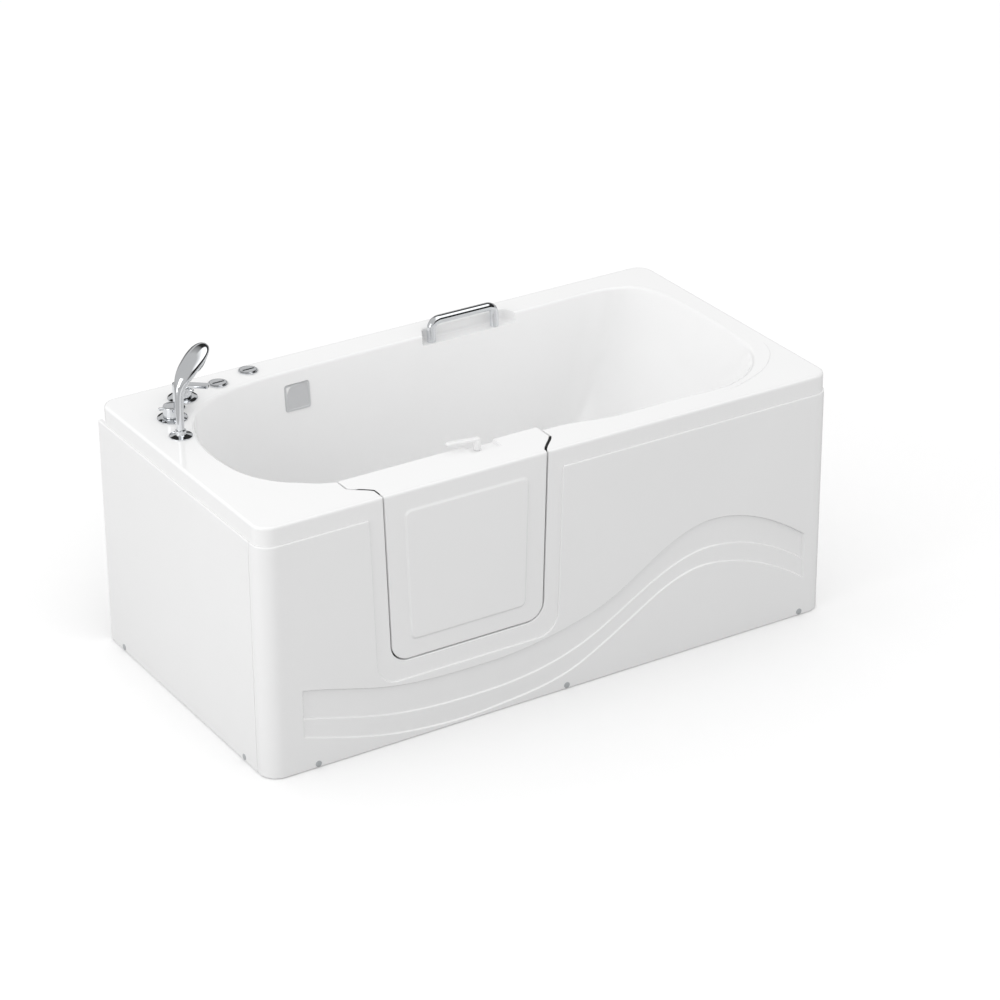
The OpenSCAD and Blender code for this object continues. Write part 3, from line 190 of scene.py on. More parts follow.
class Finishes(Enum):
    """The finishes of the tub, each after the stuff that it is made of."""

    # Cast acrylic, vacuum formed and polished: clear gloss over an even white, with the faint
    # long waviness of a formed sheet.
    ACRYLIC = Finish("white_cast_acrylic", "#f7f7f7", "#f3f3f3", (0.06, 0.10), 400, 80, 60,
                     0.03, ior=1.49)
    # The panels are nearly the same white, a little less glossy.
    PANEL = Finish("white_panel_acrylic", "#f6f6f6", "#f2f2f2", (0.12, 0.17), 350, 60, 45,
                   0.03, ior=1.49)
    # Bright chrome plate on brass: a mirror with hardly any colour.
    CHROME = Finish("chrome_plate", "#e6e8ea", "#dfe1e4", (0.03, 0.06), 60, 20, 12, 0.002,
                    metallic=1.0)
    # Satin chrome: the same plate on blasted brass, so that it reflects as a soft glow.
    SATIN = Finish("satin_chrome", "#c9cbcd", "#bdbfc2", (0.26, 0.34), 40, 10, 0.6, 0.004,
                   metallic=1.0)
    # White moulded plastic of the latch lever: soft gloss.
    WHITE_PLASTIC = Finish("white_moulded_abs", "#f1f1f1", "#ebebeb", (0.2, 0.28), 60, 15, 1.2,
                           0.006, ior=1.53)
    # Pale grey plastic of the caps over the screws.
    GREY_PLASTIC = Finish("grey_cap_plastic", "#b9bcbe", "#aeb1b3", (0.28, 0.38), 30, 8, 0.9,
                          0.008, ior=1.53)
    # Grey spray disc of soft plastic.
    SPRAY = Finish("grey_spray_plastic", "#8b8e92", "#7c7f83", (0.35, 0.45), 20, 6, 0.7, 0.01)
    # Extruded silicone gasket: nearly black, matt.
    RUBBER = Finish("black_gasket_rubber", "#1d1e20", "#151618", (0.55, 0.7), 40, 10, 1.0, 0.03,
                    ior=1.52)
    # Hot-dip galvanised steel tube: grey with broad spangles of zinc.
    GALVANISED = Finish("galvanised_steel", "#aeb3b6", "#8f9498", (0.3, 0.5), 14, 9, 3.0, 0.02,
                        metallic=1.0)
    # Zinc plated screws, nuts and straps: brighter and smoother than the tube.
    ZINC = Finish("zinc_plated_steel", "#c6cacc", "#b4b8ba", (0.2, 0.32), 10, 5, 1.0, 0.008,
                  metallic=1.0)
    # Brushed stainless hinges: fine lines up and down.
    STAINLESS = Finish("brushed_stainless_steel", "#c3c5c7", "#b2b4b6", (0.22, 0.34), 20, 6, 1.2,
                       0.008, metallic=1.0, stretch=(1.0, 1.0, 0.08))
    # Turned brass of the valves and their nuts.
    BRASS = Finish("turned_brass", "#c9a45c", "#b48d47", (0.22, 0.34), 15, 6, 0.8, 0.01,
                   metallic=1.0)
    # Dark grey moulded waste fittings.
    PIPE = Finish("grey_polypropylene", "#55585b", "#484b4e", (0.35, 0.48), 60, 12, 1.5, 0.02,
                  ior=1.49)
    # Black moulded feet and latch case.
    BLACK_PLASTIC = Finish("black_moulded_nylon", "#26272a", "#1c1d20", (0.38, 0.5), 40, 10, 1.1,
                           0.02, ior=1.53)
    # Moisture-proof board under the bowl: brown with short flakes.
    BOARD = Finish("resin_bonded_board", "#a98a5f", "#7f623d", (0.55, 0.75), 9, 8, 3.0, 0.12,
                   stretch=(1.0, 0.4, 1.0))


NODE_FINISHES: dict[Finishes, tuple[str, ...]] = {
    Finishes.BOARD: ("base_board",),
    Finishes.GALVANISED: ("frame_rails", "frame_bearers", "frame_posts", "frame_top_rails",
                          "door_stiffener"),
    Finishes.BLACK_PLASTIC: ("foot_pads", "latch_case", "control_body"),
    Finishes.ZINC: ("foot_rods", "foot_nuts", "panel_brackets", "panel_screws", "grab_bar_nuts",
                    "hinge_backing"),
    Finishes.PIPE: ("overflow_elbow", "overflow_pipe", "waste_trap"),
    Finishes.CHROME: ("waste_body", "waste_plug"),
    Finishes.BRASS: ("waste_nut", "tap_valves", "deck_nuts", "diverter_valve"),
    Finishes.RUBBER: ("door_seal",),
    Finishes.STAINLESS: ("hinge_frame_leaves", "hinge_door_leaves", "hinge_pins",
                         "hinge_door_screws", "hinge_frame_screws", "latch_bolt", "strike_plate"),
}


# ------------------------------------------------------------------ surfaces

@dataclass
class Shape:
    """Points in millimetres with the faces between them."""

    points: Array
    faces: list[list[int]]

    def moved(self, turn: Array, shift: Array) -> "Shape":
        """Turned by the rows of a 3 x 3 matrix and then shifted."""
        return Shape(self.points @ turn.T + shift, self.faces)


def join(shapes: Iterable[Shape]) -> Shape:
    """One shape out of several, which stay separate closed surfaces.

    Args:
        shapes: the shapes.

    Returns:
        All their points, and their faces counted on.
    """
    points, faces, base = [], [], 0
    for shape in shapes:
        points.append(shape.points)
        faces += [[i + base for i in f] for f in shape.faces]
        base += len(shape.points)
    return Shape(np.vstack(points), faces)


def circle(n: int) -> Array:
    """Points of a unit circle: cos a, sin a."""
    a = np.linspace(0, 2 * np.pi, n, endpoint=False)
    return np.column_stack([np.cos(a), np.sin(a)])


def turned(angle: float) -> Array:
    """Matrix of a turn about the upright axis."""
    c, s = math.cos(angle), math.sin(angle)
    return np.array([[c, -s, 0], [s, c, 0], [0, 0, 1]])


def loft(rings: Array | Sequence[Array], caps: bool = True, closed: bool = False) -> Shape:
    """Surface through rings of points: S(i, j) is point j of ring i.

    Args:
        rings: the rings, with as many points in each.
        caps: whether the first and last ring are closed with a flat face.
        closed: whether the last ring joins the first.

    Returns:
        The closed shape.
    """
    rings = np.asarray(rings)
    m, n = rings.shape[:2]
    rows = m if closed else m - 1
    i, j = np.meshgrid(np.arange(rows), np.arange(n), indexing="ij")
    a, b = i * n + j, i * n + (j + 1) % n
    c, d = ((i + 1) % m) * n + (j + 1) % n, ((i + 1) % m) * n + j
    faces = np.stack([a, b, c, d], -1).reshape(-1, 4).tolist()
    if caps and not closed:
        faces += [list(range(n))[::-1], list(range((m - 1) * n, m * n))]
    return Shape(rings.reshape(-1, 3), faces)


def rounded(corners: Sequence[Sequence[float]], n: int = 6) -> Array:
    """Outline with round corners: each corner is an arc that touches both its sides.

    Args:
        corners: rows of x, y and radius.
        n: steps in each corner.

    Returns:
        Array of len(corners) * (n + 1) points.
    """
    data = np.asarray(corners, float)
    here, radius = data[:, :2], np.maximum(data[:, 2:], 0.05)
    u, v = np.roll(here, 1, 0) - here, np.roll(here, -1, 0) - here
    u /= np.linalg.norm(u, axis=1, keepdims=True)
    v /= np.linalg.norm(v, axis=1, keepdims=True)
    half = np.arccos(np.clip((u * v).sum(1, keepdims=True), -1, 1)) / 2
    middle = here + (u + v) / np.linalg.norm(u + v, axis=1, keepdims=True) * radius / np.sin(half)
    reach = radius / np.tan(half)
    start, end, sweep = here + u * reach - middle, here + v * reach - middle, np.pi - 2 * half
    t = np.linspace(0, 1, n + 1)[None, :, None]
    sweep = sweep[:, None]
    arc = start[:, None] * np.sin(sweep * (1 - t)) + end[:, None] * np.sin(sweep * t)
    return (middle[:, None] + arc / np.sin(sweep)).reshape(-1, 2)


def rounded_box(box: Sequence[float], radius: float, n: int = 6) -> Array:
    """Outline of the rectangle x0, x1, y0, y1 with four equal corner radii."""
    x0, x1, y0, y1 = box
    return rounded([(x0, y0, radius), (x1, y0, radius), (x1, y1, radius), (x0, y1, radius)], n)


def with_z(outline: Array, z: float | Array) -> Array:
    """Points of a plan outline at a height."""
    return np.column_stack([outline, np.broadcast_to(z, len(outline))])


def with_y(outline: Array, y: float | Array) -> Array:
    """Points of an outline drawn in x and z, at a depth."""
    return np.column_stack([outline[:, 0], np.broadcast_to(y, len(outline)), outline[:, 1]])


def quarter(n: int) -> tuple[Array, Array]:
    """Sine and one minus cosine of 0 to 90 degrees: how far a unit fillet has gone each way."""
    a = np.linspace(0, np.pi / 2, n)
    return np.sin(a), 1 - np.cos(a)


def bezier(a: Array, b: Array, c: Array, n: int) -> Array:
    """Curves from a to c that leave and arrive along the lines to b.

    The curve is (1 - t)^2 a + 2t(1 - t) b + t^2 c.
    """
    t = np.linspace(0, 1, n).reshape(-1, *([1] * a.ndim))
    return (1 - t) ** 2 * a + 2 * t * (1 - t) * b + t ** 2 * c


def spline(points: Array, place: Array) -> Array:
    """Smooth curve through points: each span blends the parabolas of its two ends.

    Args:
        points: one point in each row.
        place: where on the curve, counted in points.

    Returns:
        One row for each place.
    """
    p = np.vstack([2 * points[0] - points[1], points, 2 * points[-1] - points[-2]])
    i = np.minimum(place.astype(int), len(points) - 2)
    f = (place - i)[:, None]
    a, b, c, d = p[i], p[i + 1], p[i + 2], p[i + 3]
    return 0.5 * (2 * b + (c - a) * f + (2 * a - 5 * b + 4 * c - d) * f ** 2
                  + (3 * b - a - 3 * c + d) * f ** 3)


def even_spline(points: Sequence[Sequence[float]], steps: int) -> Array:
    """The smooth curve through points, with as many steps in each span."""
    return spline(np.array(points, float), np.arange((len(points) - 1) * steps + 1) / steps)


def bore(middle: Sequence[float], radius: float, axis: int, ends: Sequence[float]) -> Shape:
    """A round hole along x, y or z.

    Args:
        middle: the hole's place in the two other directions.
        radius: its radius.
        axis: 0, 1 or 2 for x, y or z.
        ends: where it starts and ends.

    Returns:
        The closed cylinder.
    """
    ring = np.insert(np.asarray(middle) + radius * circle(40), axis, 0.0, axis=1)
    return loft([ring + end * np.eye(3)[axis] for end in ends])


def lathe(profile: Sequence[Sequence[float]], centre: Sequence[float], closed: bool = False,
          n: int = 64) -> Shape:
    """Surface of revolution: (r cos a, r sin a, z) for each profile point r, z.

    Args:
        profile: rows of radius and height, from one pole to the other or round a loop.
        centre: the axis's foot.
        closed: whether the profile is a loop round a bore.
        n: steps round the axis.

    Returns:
        The closed shape.
    """
    ring = circle(n)
    rings = np.stack([with_z(r * ring, z) for r, z in profile])
    return loft(rings + np.asarray(centre, float), caps=False, closed=closed)


def sweep(path: Array, section: Array, side: Sequence[float]) -> Shape:
    """A section carried along a path: P(i) + s0 side' + s1 up, with up square to both.

    Args:
        path: points of the path.
        section: outline in the two directions, or one outline for each path point.
        side: direction that stays nearly square to the path.

    Returns:
        The closed shape.
    """
    along = np.gradient(path, axis=0)
    along /= np.linalg.norm(along, axis=1, keepdims=True)
    up = np.cross(along, np.asarray(side, float))
    up /= np.linalg.norm(up, axis=1, keepdims=True)
    across = np.cross(up, along)
    if section.ndim == 2:
        section = np.broadcast_to(section, (len(path), *section.shape))
    return loft(path[:, None] + section[..., :1] * across[:, None]
                + section[..., 1:] * up[:, None])


def capsule(start: Sequence[float], end: Sequence[float], radius: float, n: int = 24) -> Shape:
    """A round bar, not upright, with domed ends: circles of radius r sqrt(1 - s^2) past each.

    Args:
        start: middle of the first dome's circle.
        end: middle of the second one.
        radius: the bar's radius.
        n: steps round it.

    Returns:
        The closed shape.
    """
    a, b = np.asarray(start, float), np.asarray(end, float)
    axis = (b - a) / np.linalg.norm(b - a)
    side = np.cross(axis, (0, 0, 1))
    side /= np.linalg.norm(side)
    up = np.cross(axis, side)
    s = np.sin(np.linspace(0, np.pi / 2, 7))
    r = np.concatenate([np.sqrt(1 - s[::-1] ** 2), np.sqrt(1 - s ** 2)]) * radius
    mid = np.vstack([a - np.outer(s[::-1], axis) * radius, b + np.outer(s, axis) * radius])
    return loft(mid[:, None] + r[:, None, None] * (circle(n) @ np.stack([side, up])), caps=False)


# ------------------------------------------------------------------ pieces

def placed(name: str, data: bpy.types.ID) -> bpy.types.Object:
    """A new object with this data in the scene.

    Args:
        name: its name.
        data: its mesh, lamp or camera.

    Returns:
        The object, at the origin.
    """
    obj = bpy.data.objects.new(name, data)
    bpy.context.scene.collection.objects.link(obj)
    return obj


def mesh_object(name: str, shape: Shape) -> bpy.types.Object:
    """A mesh object whose place is in its mesh, with doubles merged and faces outwards.

    Args:
        name: name of the object and its mesh.
        shape: points in the tub's corner frame.

    Returns:
        The object, with its points in the frame's metres.
    """
    mesh = bpy.data.meshes.new(name)
    mesh.from_pydata(((shape.points + CORNER) / 1000).tolist(), [], shape.faces)
    work = bmesh.new()
    work.from_mesh(mesh)
    bmesh.ops.remove_doubles(work, verts=work.verts, dist=2e-6)
    bmesh.ops.dissolve_degenerate(work, edges=work.edges, dist=1e-7)
    bmesh.ops.recalc_face_normals(work, faces=work.faces)
    work.to_mesh(mesh)
    work.free()
    return placed(name, mesh)


class Join(Enum):
    """How a second solid changes the first."""

    CUT = "DIFFERENCE"
    ADD = "UNION"


def carve(base: bpy.types.Object, steps: Sequence[tuple[Join, str, Shape]]) -> None:
    """Adds and cuts solids one after the other, and leaves the result in the base's mesh.

    Args:
        base: the piece that changes.
        steps: how each solid joins, its name and its shape.
    """
    helpers = []
    for how, name, shape in steps:
        tool = mesh_object(f"{base.name}_{name}", shape)
        helpers.append(tool)
        mod = base.modifiers.new(name, "BOOLEAN")
        mod.operation, mod.solver, mod.object = how.value, "MANIFOLD", tool
    bpy.context.view_layer.update()
    result = bpy.data.meshes.new_from_object(
        base.evaluated_get(bpy.context.evaluated_depsgraph_get()))
    base.modifiers.clear()
    old, base.data = base.data, result
    result.name = base.name
    bpy.data.meshes.remove(old)
    for tool in helpers:
        mesh = tool.data
        bpy.data.objects.remove(tool)
        bpy.data.meshes.remove(mesh)


def finish_piece(obj: bpy.types.Object, finish: Finishes, body: str, *nodes: str) -> None:
    """Shades a piece, gives it its finish, sets its body and hides the nodes that it stands for.

    Args:
        obj: the piece.
        finish: its surface.
        body: the CAD body that it rides on.
        nodes: the CAD nodes that it replaces.
    """
    mesh = obj.data
    mesh.materials.clear()
    mesh.materials.append(finish.value.build())
    mesh.polygons.foreach_set("material_index", np.zeros(len(mesh.polygons), np.int32))
    mesh.polygons.foreach_set("use_smooth", np.ones(len(mesh.polygons), bool))
    mesh.set_sharp_from_angle(angle=SHARP_EDGE)
    soft = obj.modifiers.new("even_normals", "WEIGHTED_NORMAL")
    soft.keep_sharp, soft.weight = True, 50
    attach(obj, body)
    if nodes:
        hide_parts(*nodes)
    LOG.info("%s: %d faces on %s", obj.name, len(mesh.polygons), body)


def new_piece(name: str, shapes: Sequence[Shape], finish: Finishes, body: str,
              *nodes: str) -> None:
    """Makes a finished piece out of separate closed shapes."""
    finish_piece(mesh_object(name, join(shapes)), finish, body, *nodes)


# ------------------------------------------------------------------ door's outline

def half_door(z: float, reach: float) -> float:
    """Half of the door's front width at a height, grown by reach."""
    return DOOR_HALF + reach - (DECK - z) * DOOR_TAPER


def mirrored(left: Sequence[Sequence[float]], n: int, *middle: Sequence[float]) -> Array:
    """Round outline of the door's left corners, their mirror images and corners in the middle."""
    right = [(2 * DOOR_X - x, z, r) for x, z, r in left[::-1]]
    return rounded([*left, *right, *middle], n)


def door_outline(spread: float, grow: float, top: float) -> Array:
    """The door's front view: sides that lean in downwards and two round lower corners.

    Args:
        spread: how far the flare has gone.
        grow: how much larger the outline is all round.
        top: height of its upper side.

    Returns:
        The outline in x and z.
    """
    reach = spread + grow
    foot = DOOR_FOOT - reach
    return mirrored([(DOOR_X - half_door(top, reach), top, 3.0),
                     (DOOR_X - half_door(foot, reach), foot, DOOR_CORNER + reach)], 12)


def slanted(outline: Array, spread: float, hinge_y: float, free_y: float) -> Array:
    """An outline whose depth changes evenly from the hinge side to the free side."""
    slope = (free_y - hinge_y) / (2 * (DOOR_HALF + spread))
    return with_y(outline, (hinge_y + free_y) / 2 + slope * (outline[:, 0] - DOOR_X))


def flare_steps() -> list[tuple[float, float, float]]:
    """Spread, and depth at the hinge side and the free side, along the flare's S-curve.

    Returns:
        Nine rows. The spread runs from 0 to the full flare.
    """
    t = np.linspace(0, 1, 9)
    bow = 0.55 * t + 0.45 * t * t * (3 - 2 * t)
    return [(DOOR_FLARE * b, 40 + 47 * s, 9 + 63 * s) for s, b in zip(t, bow)]


# ------------------------------------------------------------------ tub

@dataclass
class Tub:
    """The acrylic moulding: rim, bowl, door surround and the pocket of the grab bar."""

    body: str = "tub"
    floor: float = 120.0
    knee: float = 165.0
    knee_box: tuple[float, float, float, float] = (175, 1295, 137, 735)
    floor_box: tuple[float, float, float, float] = (235, 1217, 197, 675)
    knee_radii: tuple[float, float, float, float] = (150, 250, 110, 150)
    floor_radii: tuple[float, float, float, float] = (120, 190, 95, 120)
    edge: float = 11.0
    # The bowl's edge at the deck, from the hinge's jamb round the tap end, the back and the
    # head end to the door's free side.
    contour: tuple[tuple[float, float], ...] = (
        (291, 137.8), (252, 154.7), (213, 184), (173, 217), (139, 262), (116, 318), (106, 378),
        (103.5, 436), (107, 492), (119, 550), (140, 610), (168, 664), (206, 703), (256, 733),
        (320, 756), (385, 768), (460, 776), (560, 779), (700, 782), (938, 784), (1180, 786),
        (1320, 787), (1420, 790), (1490, 790), (1540, 781), (1583, 760), (1613, 722),
        (1630, 670), (1638, 600), (1641, 520), (1641, 430), (1638, 360), (1630, 300),
        (1615, 240), (1588, 190), (1550, 146), (1507, 114), (1459, 93), (1415, 83), (1360, 83),
        (1283, 88), (1200, 88.5), (1125, 88), (1081, 89), (1036, 96), (985, 108), (938, 116),
        (900, 118))
    # The same corners on the lower rings, as the number of a side or corner and how far along it.
    deck_marks: tuple[int, ...] = (0, 1, 7, 16, 21, 26, 30, 35, 40, 44, 46)
    low_marks: tuple[float, ...] = (0.146, 0.333, 1.75, 3.02, 3.9, 4.55, 5.56, 6.45, 7.0, 7.226,
                                    7.268, 7.31)
    # The straight edges past the door's free side and along the door: start, end, number of
    # points, and their places on the lower rings.
    straights: tuple[tuple, ...] = (((894, 118), (850, 118), 8, 7.315, 7.36),
                                    ((842, 137), (300, 137), 40, 7.37, 8.06))
    wall_end: float = 75.0  # how far above the knee the walls start to turn into the floor

    # The pocket's plan: its ends in front at the bowl and behind, and its two depths.
    pocket_mouth: tuple[float, float] = (915.0, 1223.0)
    pocket_x: tuple[float, float] = (945.0, 1200.0)
    pocket_y: tuple[float, float] = (773.0, 825.0)
    pocket_r: float = 14.0
    pocket_fillet: float = 8.0
    # The line on the deck where the swell round the head end stops, and its height.
    step_line: tuple[tuple[float, float], ...] = (
        (1385, 53), (1411, 55.7), (1436, 59.5), (1477, 71.5), (1521, 89), (1556, 106.5),
        (1589, 130), (1621, 161), (1645, 192), (1661, 226), (1671, 262))
    step_h: float = 1.6

    def low_ring(self, box: Sequence[float], radii: Sequence[float]) -> Array:
        """A lower ring as eight pieces, corner and side in turn, of 33 points each.

        Args:
            box: x and y at both ends.
            radii: corner radii: tap end in front and behind, head end behind and in
                front.

        Returns:
            Array of pieces, points and coordinates.
        """
        x0, x1, y0, y1 = box
        fl, bl, br, fr = radii
        t = np.linspace(0, np.pi / 2, 33)
        c, s = np.cos(t), np.sin(t)
        arcs = [np.column_stack([x0 + fl - fl * s, y0 + fl - fl * c]),
                np.column_stack([x0 + bl - bl * c, y1 - bl + bl * s]),
                np.column_stack([x1 - br + br * s, y1 - br + br * c]),
                np.column_stack([x1 - fr + fr * c, y0 + fr - fr * s])]
        u = np.linspace(0, 1, 33)[:, None]
        return np.stack([part for k in range(4) for part in
                         (arcs[k], arcs[k][-1] * (1 - u) + arcs[(k + 1) % 4][0] * u)])

    def rings(self) -> tuple[Array, Array, Array]:
        """Matching points of the bowl's edge, of its knee and of its floor.

        Returns:
            Three rings with as many points in each.
        """
        steps = 6
        smooth = even_spline(self.contour, steps)
        low = [self.low_ring(self.knee_box, self.knee_radii),
               self.low_ring(self.floor_box, self.floor_radii)]
        deck = [smooth] + [np.linspace(a, b, n) for a, b, n, _, _ in self.straights]
        ends = [m * steps for m in self.deck_marks] + [len(smooth) - 1]
        marks = np.concatenate([np.interp(np.arange(len(smooth)), ends, self.low_marks)]
                               + [np.linspace(u, v, n) for _, _, n, u, v in self.straights])
        piece, part = np.floor(marks).astype(int) % 8, (marks % 1) * 32
        first = np.minimum(np.floor(part).astype(int), 31)
        blend = (part - first)[:, None]
        lower = [ring[piece, first] * (1 - blend) + ring[piece, first + 1] * blend for ring in low]
        return np.vstack(deck), lower[0], lower[1]

    @staticmethod
    def outward(ring: Array) -> Array:
        """Unit normals of a ring that runs clockwise, smoothed over its neighbours.

        Args:
            ring: points in plan.

        Returns:
            One direction for each point.
        """
        step = np.roll(ring, -1, 0) - np.roll(ring, 1, 0)
        side = np.column_stack([-step[:, 1], step[:, 0]])
        side /= np.linalg.norm(side, axis=1, keepdims=True)
        side = side + 0.5 * (np.roll(side, 1, 0) + np.roll(side, -1, 0))
        return side / np.linalg.norm(side, axis=1, keepdims=True)

    def bowl(self, grow: float, top: float, flare: float) -> Shape:
        """The bowl's inside or outside: a fillet at the deck, straight walls and a round foot.

        Each column is a Bezier fillet, a line from the deck to the knee and a Bezier turn into
        the floor.

        Args:
            grow: how far the surface lies outside the bowl.
            top: height where the walls end.
            flare: radius of the fillet at the deck, or 0.

        Returns:
            The closed solid of the bowl's space.
        """
        edge, knee, foot = self.rings()
        out, out_low, out_foot = self.outward(edge), self.outward(knee), self.outward(foot)
        high = with_z(edge + grow * out, top)
        low = with_z(knee + grow * out_low, self.knee)
        floor = self.floor - grow
        end = with_z(foot + grow * out_foot, floor)
        down = (low - high) / (high[:, 2:] - low[:, 2:])
        corner = high + down * (top - floor)
        turn = high + down * (top - self.knee - self.wall_end)
        rows = []
        if flare:
            side = np.column_stack([out, np.zeros(len(out))])
            brim = high + side * flare
            fall = high + down / np.linalg.norm(down, axis=1, keepdims=True) * flare
            rows += [brim[None] + np.array([0, 0, 8.0]), bezier(brim, high, fall, 9)]
            start = fall
        else:
            rows.append(high[None])
            start = high
        t = np.linspace(0, 1, 12)[1:-1, None, None]
        rows += [start * (1 - t) + turn * t, bezier(turn, corner, end, 12)]
        inner = end.copy()
        inner[:, :2] = 0.3 * end[:, :2] + 0.7 * end[:, :2].mean(0)
        rows.append(inner[None])
        return loft(np.concatenate(rows))

    def rim(self) -> Shape:
        """The rim's block: its round-cornered outline, drawn in by r (1 - cos a) over the fillet.

        Returns:
            The closed solid.
        """
        sine, rest = quarter(8)
        levels = [(LIP, 0.6), (LIP + 0.6, 0.0), (DECK - EDGE_R, 0.0)]
        levels += [(DECK - EDGE_R + EDGE_R * s, EDGE_R * r) for s, r in zip(sine[1:], rest[1:])]
        return loft([with_z(self.rim_outline(-inset), z) for z, inset in levels])

    @staticmethod
    def rim_outline(grow: float) -> Array:
        """The rim's plan outline, grown."""
        return rounded_box((-grow, RIM_L + grow, -grow, RIM_W + grow), CORNER_R + grow, 16)

    def under_rim(self) -> Shape:
        """The hollow under the deck inside the lip."""
        return loft([with_z(self.rim_outline(-SKIN), z) for z in (LIP - 4, DECK - SKIN)])

    def plug(self, grow: float, front: float, top: float) -> Shape:
        """The surround's outer form through the front wall, along the door's flare.

        Args:
            grow: how far it lies outside the door.
            front: depth of its front face.
            top: height of its upper side.

        Returns:
            The closed solid.
        """
        rings = [with_y(door_outline(0, grow, top), front)]
        rings += [slanted(door_outline(s, grow, top), s, a, b) for s, a, b in flare_steps()]
        rings.append(with_y(door_outline(DOOR_FLARE, grow, top), DOOR_DEPTH + 9))
        return loft(rings)

    def doorway_outline(self, spread: float, grow: float) -> Array:
        """The doorway's outline, which rolls over into the deck at its two upper ends.

        Args:
            spread: how far the flare has gone.
            grow: how far it lies outside the door.

        Returns:
            The outline in x and z.
        """
        reach = spread + grow
        foot, brim, side = DOOR_FOOT - reach, DECK + 0.15, DOOR_X - DOOR_HALF - reach
        return mirrored([(side - 9, DECK + 7, 0.5), (side - 9, brim, 0.5), (side, brim, 3.0),
                         (DOOR_X - half_door(foot, reach), foot, DOOR_CORNER + reach)], 10)

    def doorway(self) -> Shape:
        """What the doorway takes out of the front: a small roll at the front edge and the flare.

        Returns:
            The closed solid that is cut away.
        """
        roll = bezier(np.array([DOOR_GAP + 3.0, -0.15]), np.array([DOOR_GAP, -0.15]),
                      np.array([DOOR_GAP, 2.85]), 5)
        rings = [with_y(self.doorway_outline(0, DOOR_GAP + 3.0), -6)]
        rings += [with_y(self.doorway_outline(0, g), y) for g, y in roll]
        rings += [slanted(self.doorway_outline(s, DOOR_GAP), s, a, b) for s, a, b in flare_steps()]
        rings.append(with_y(self.doorway_outline(DOOR_FLARE, DOOR_GAP), DOOR_DEPTH + 14))
        return loft(rings)

    def flange(self) -> Shape:
        """The surround's flat front round the doorway, behind the apron's edge.

        Returns:
            The closed solid.
        """
        foot, top, reach = 171.0, 665.0, 52.0
        outline = mirrored([(DOOR_X - half_door(top, reach), top, 4),
                            (DOOR_X - half_door(foot, reach), foot, 66)], 14)
        return loft([with_y(outline, y) for y in (0.01, SKIN - 0.02)])

    def pocket(self, grow: float, floor: float, top: float, roll: float) -> Shape:
        """The grab bar's pocket: a floor fillet, upright walls and a roll into the deck.

        Args:
            grow: how far the surface lies outside the pocket's walls.
            floor: height of its floor.
            top: height where it ends.
            roll: radius of the roll at the deck, or 0.

        Returns:
            The closed solid of the pocket's space.
        """
        (m0, m1), (x0, x1), (y0, y1) = self.pocket_mouth, self.pocket_x, self.pocket_y

        def plan(inset: float) -> Array:
            """The pocket's plan, drawn in by an inset.

            Args:
                inset: how far.

            Returns:
                The outline.
            """
            g = grow - inset
            r = self.pocket_r + g
            return rounded([(m0 - g, y0, 0.5), (x0 - g, y1 + g, r), (x1 + g, y1 + g, r),
                            (m1 + g, y0, 0.5)], 10)
        sine, rest = quarter(7)
        fillet = self.pocket_fillet
        rows = [with_z(plan(fillet * r), floor + fillet * (1 - s))
                for s, r in zip(sine[::-1], rest[::-1])]
        if roll:
            curve = bezier(np.array([0.0, top - roll]), np.array([0.0, top]),
                           np.array([-roll, top]), 6)
            rows += [with_z(plan(i), z) for i, z in curve]
            rows.append(with_z(plan(-roll), top + 6))
        else:
            rows.append(with_z(plan(0), top))
        return loft(rows)

    def swell(self) -> Shape:
        """The deck's low swell round the head end: a wedge that ends in a small outward step.

        Its height along the line is h sin^0.7(pi s), so that both ends run out in the deck.

        Returns:
            The closed solid.
        """
        line = even_spline(self.step_line, 8)
        s = np.linspace(0, 1, len(line))
        height = self.step_h * np.sin(np.pi * s) ** 0.7
        along = np.gradient(line, axis=0)
        out = np.column_stack([along[:, 1], -along[:, 0]])
        out /= np.linalg.norm(out, axis=1, keepdims=True)
        # Distance outwards, share of the height, and height below the deck where there is none.
        section = np.array([(-30, 0, -0.6), (-8, 0.72, -0.05), (-2.5, 0.98, -0.05),
                            (-1.6, 1.0, -0.05), (-1.0, 0.9, -0.05), (-0.3, 0.25, -0.05),
                            (0.4, 0, -0.25), (0.4, 0, -3), (-30, 0, -3)])
        plan = line[:, None] + out[:, None] * section[None, :, :1]
        z = DECK + height[:, None] * section[None, :, 1] + section[None, :, 2]
        return loft(np.concatenate([plan, z[..., None]], -1))

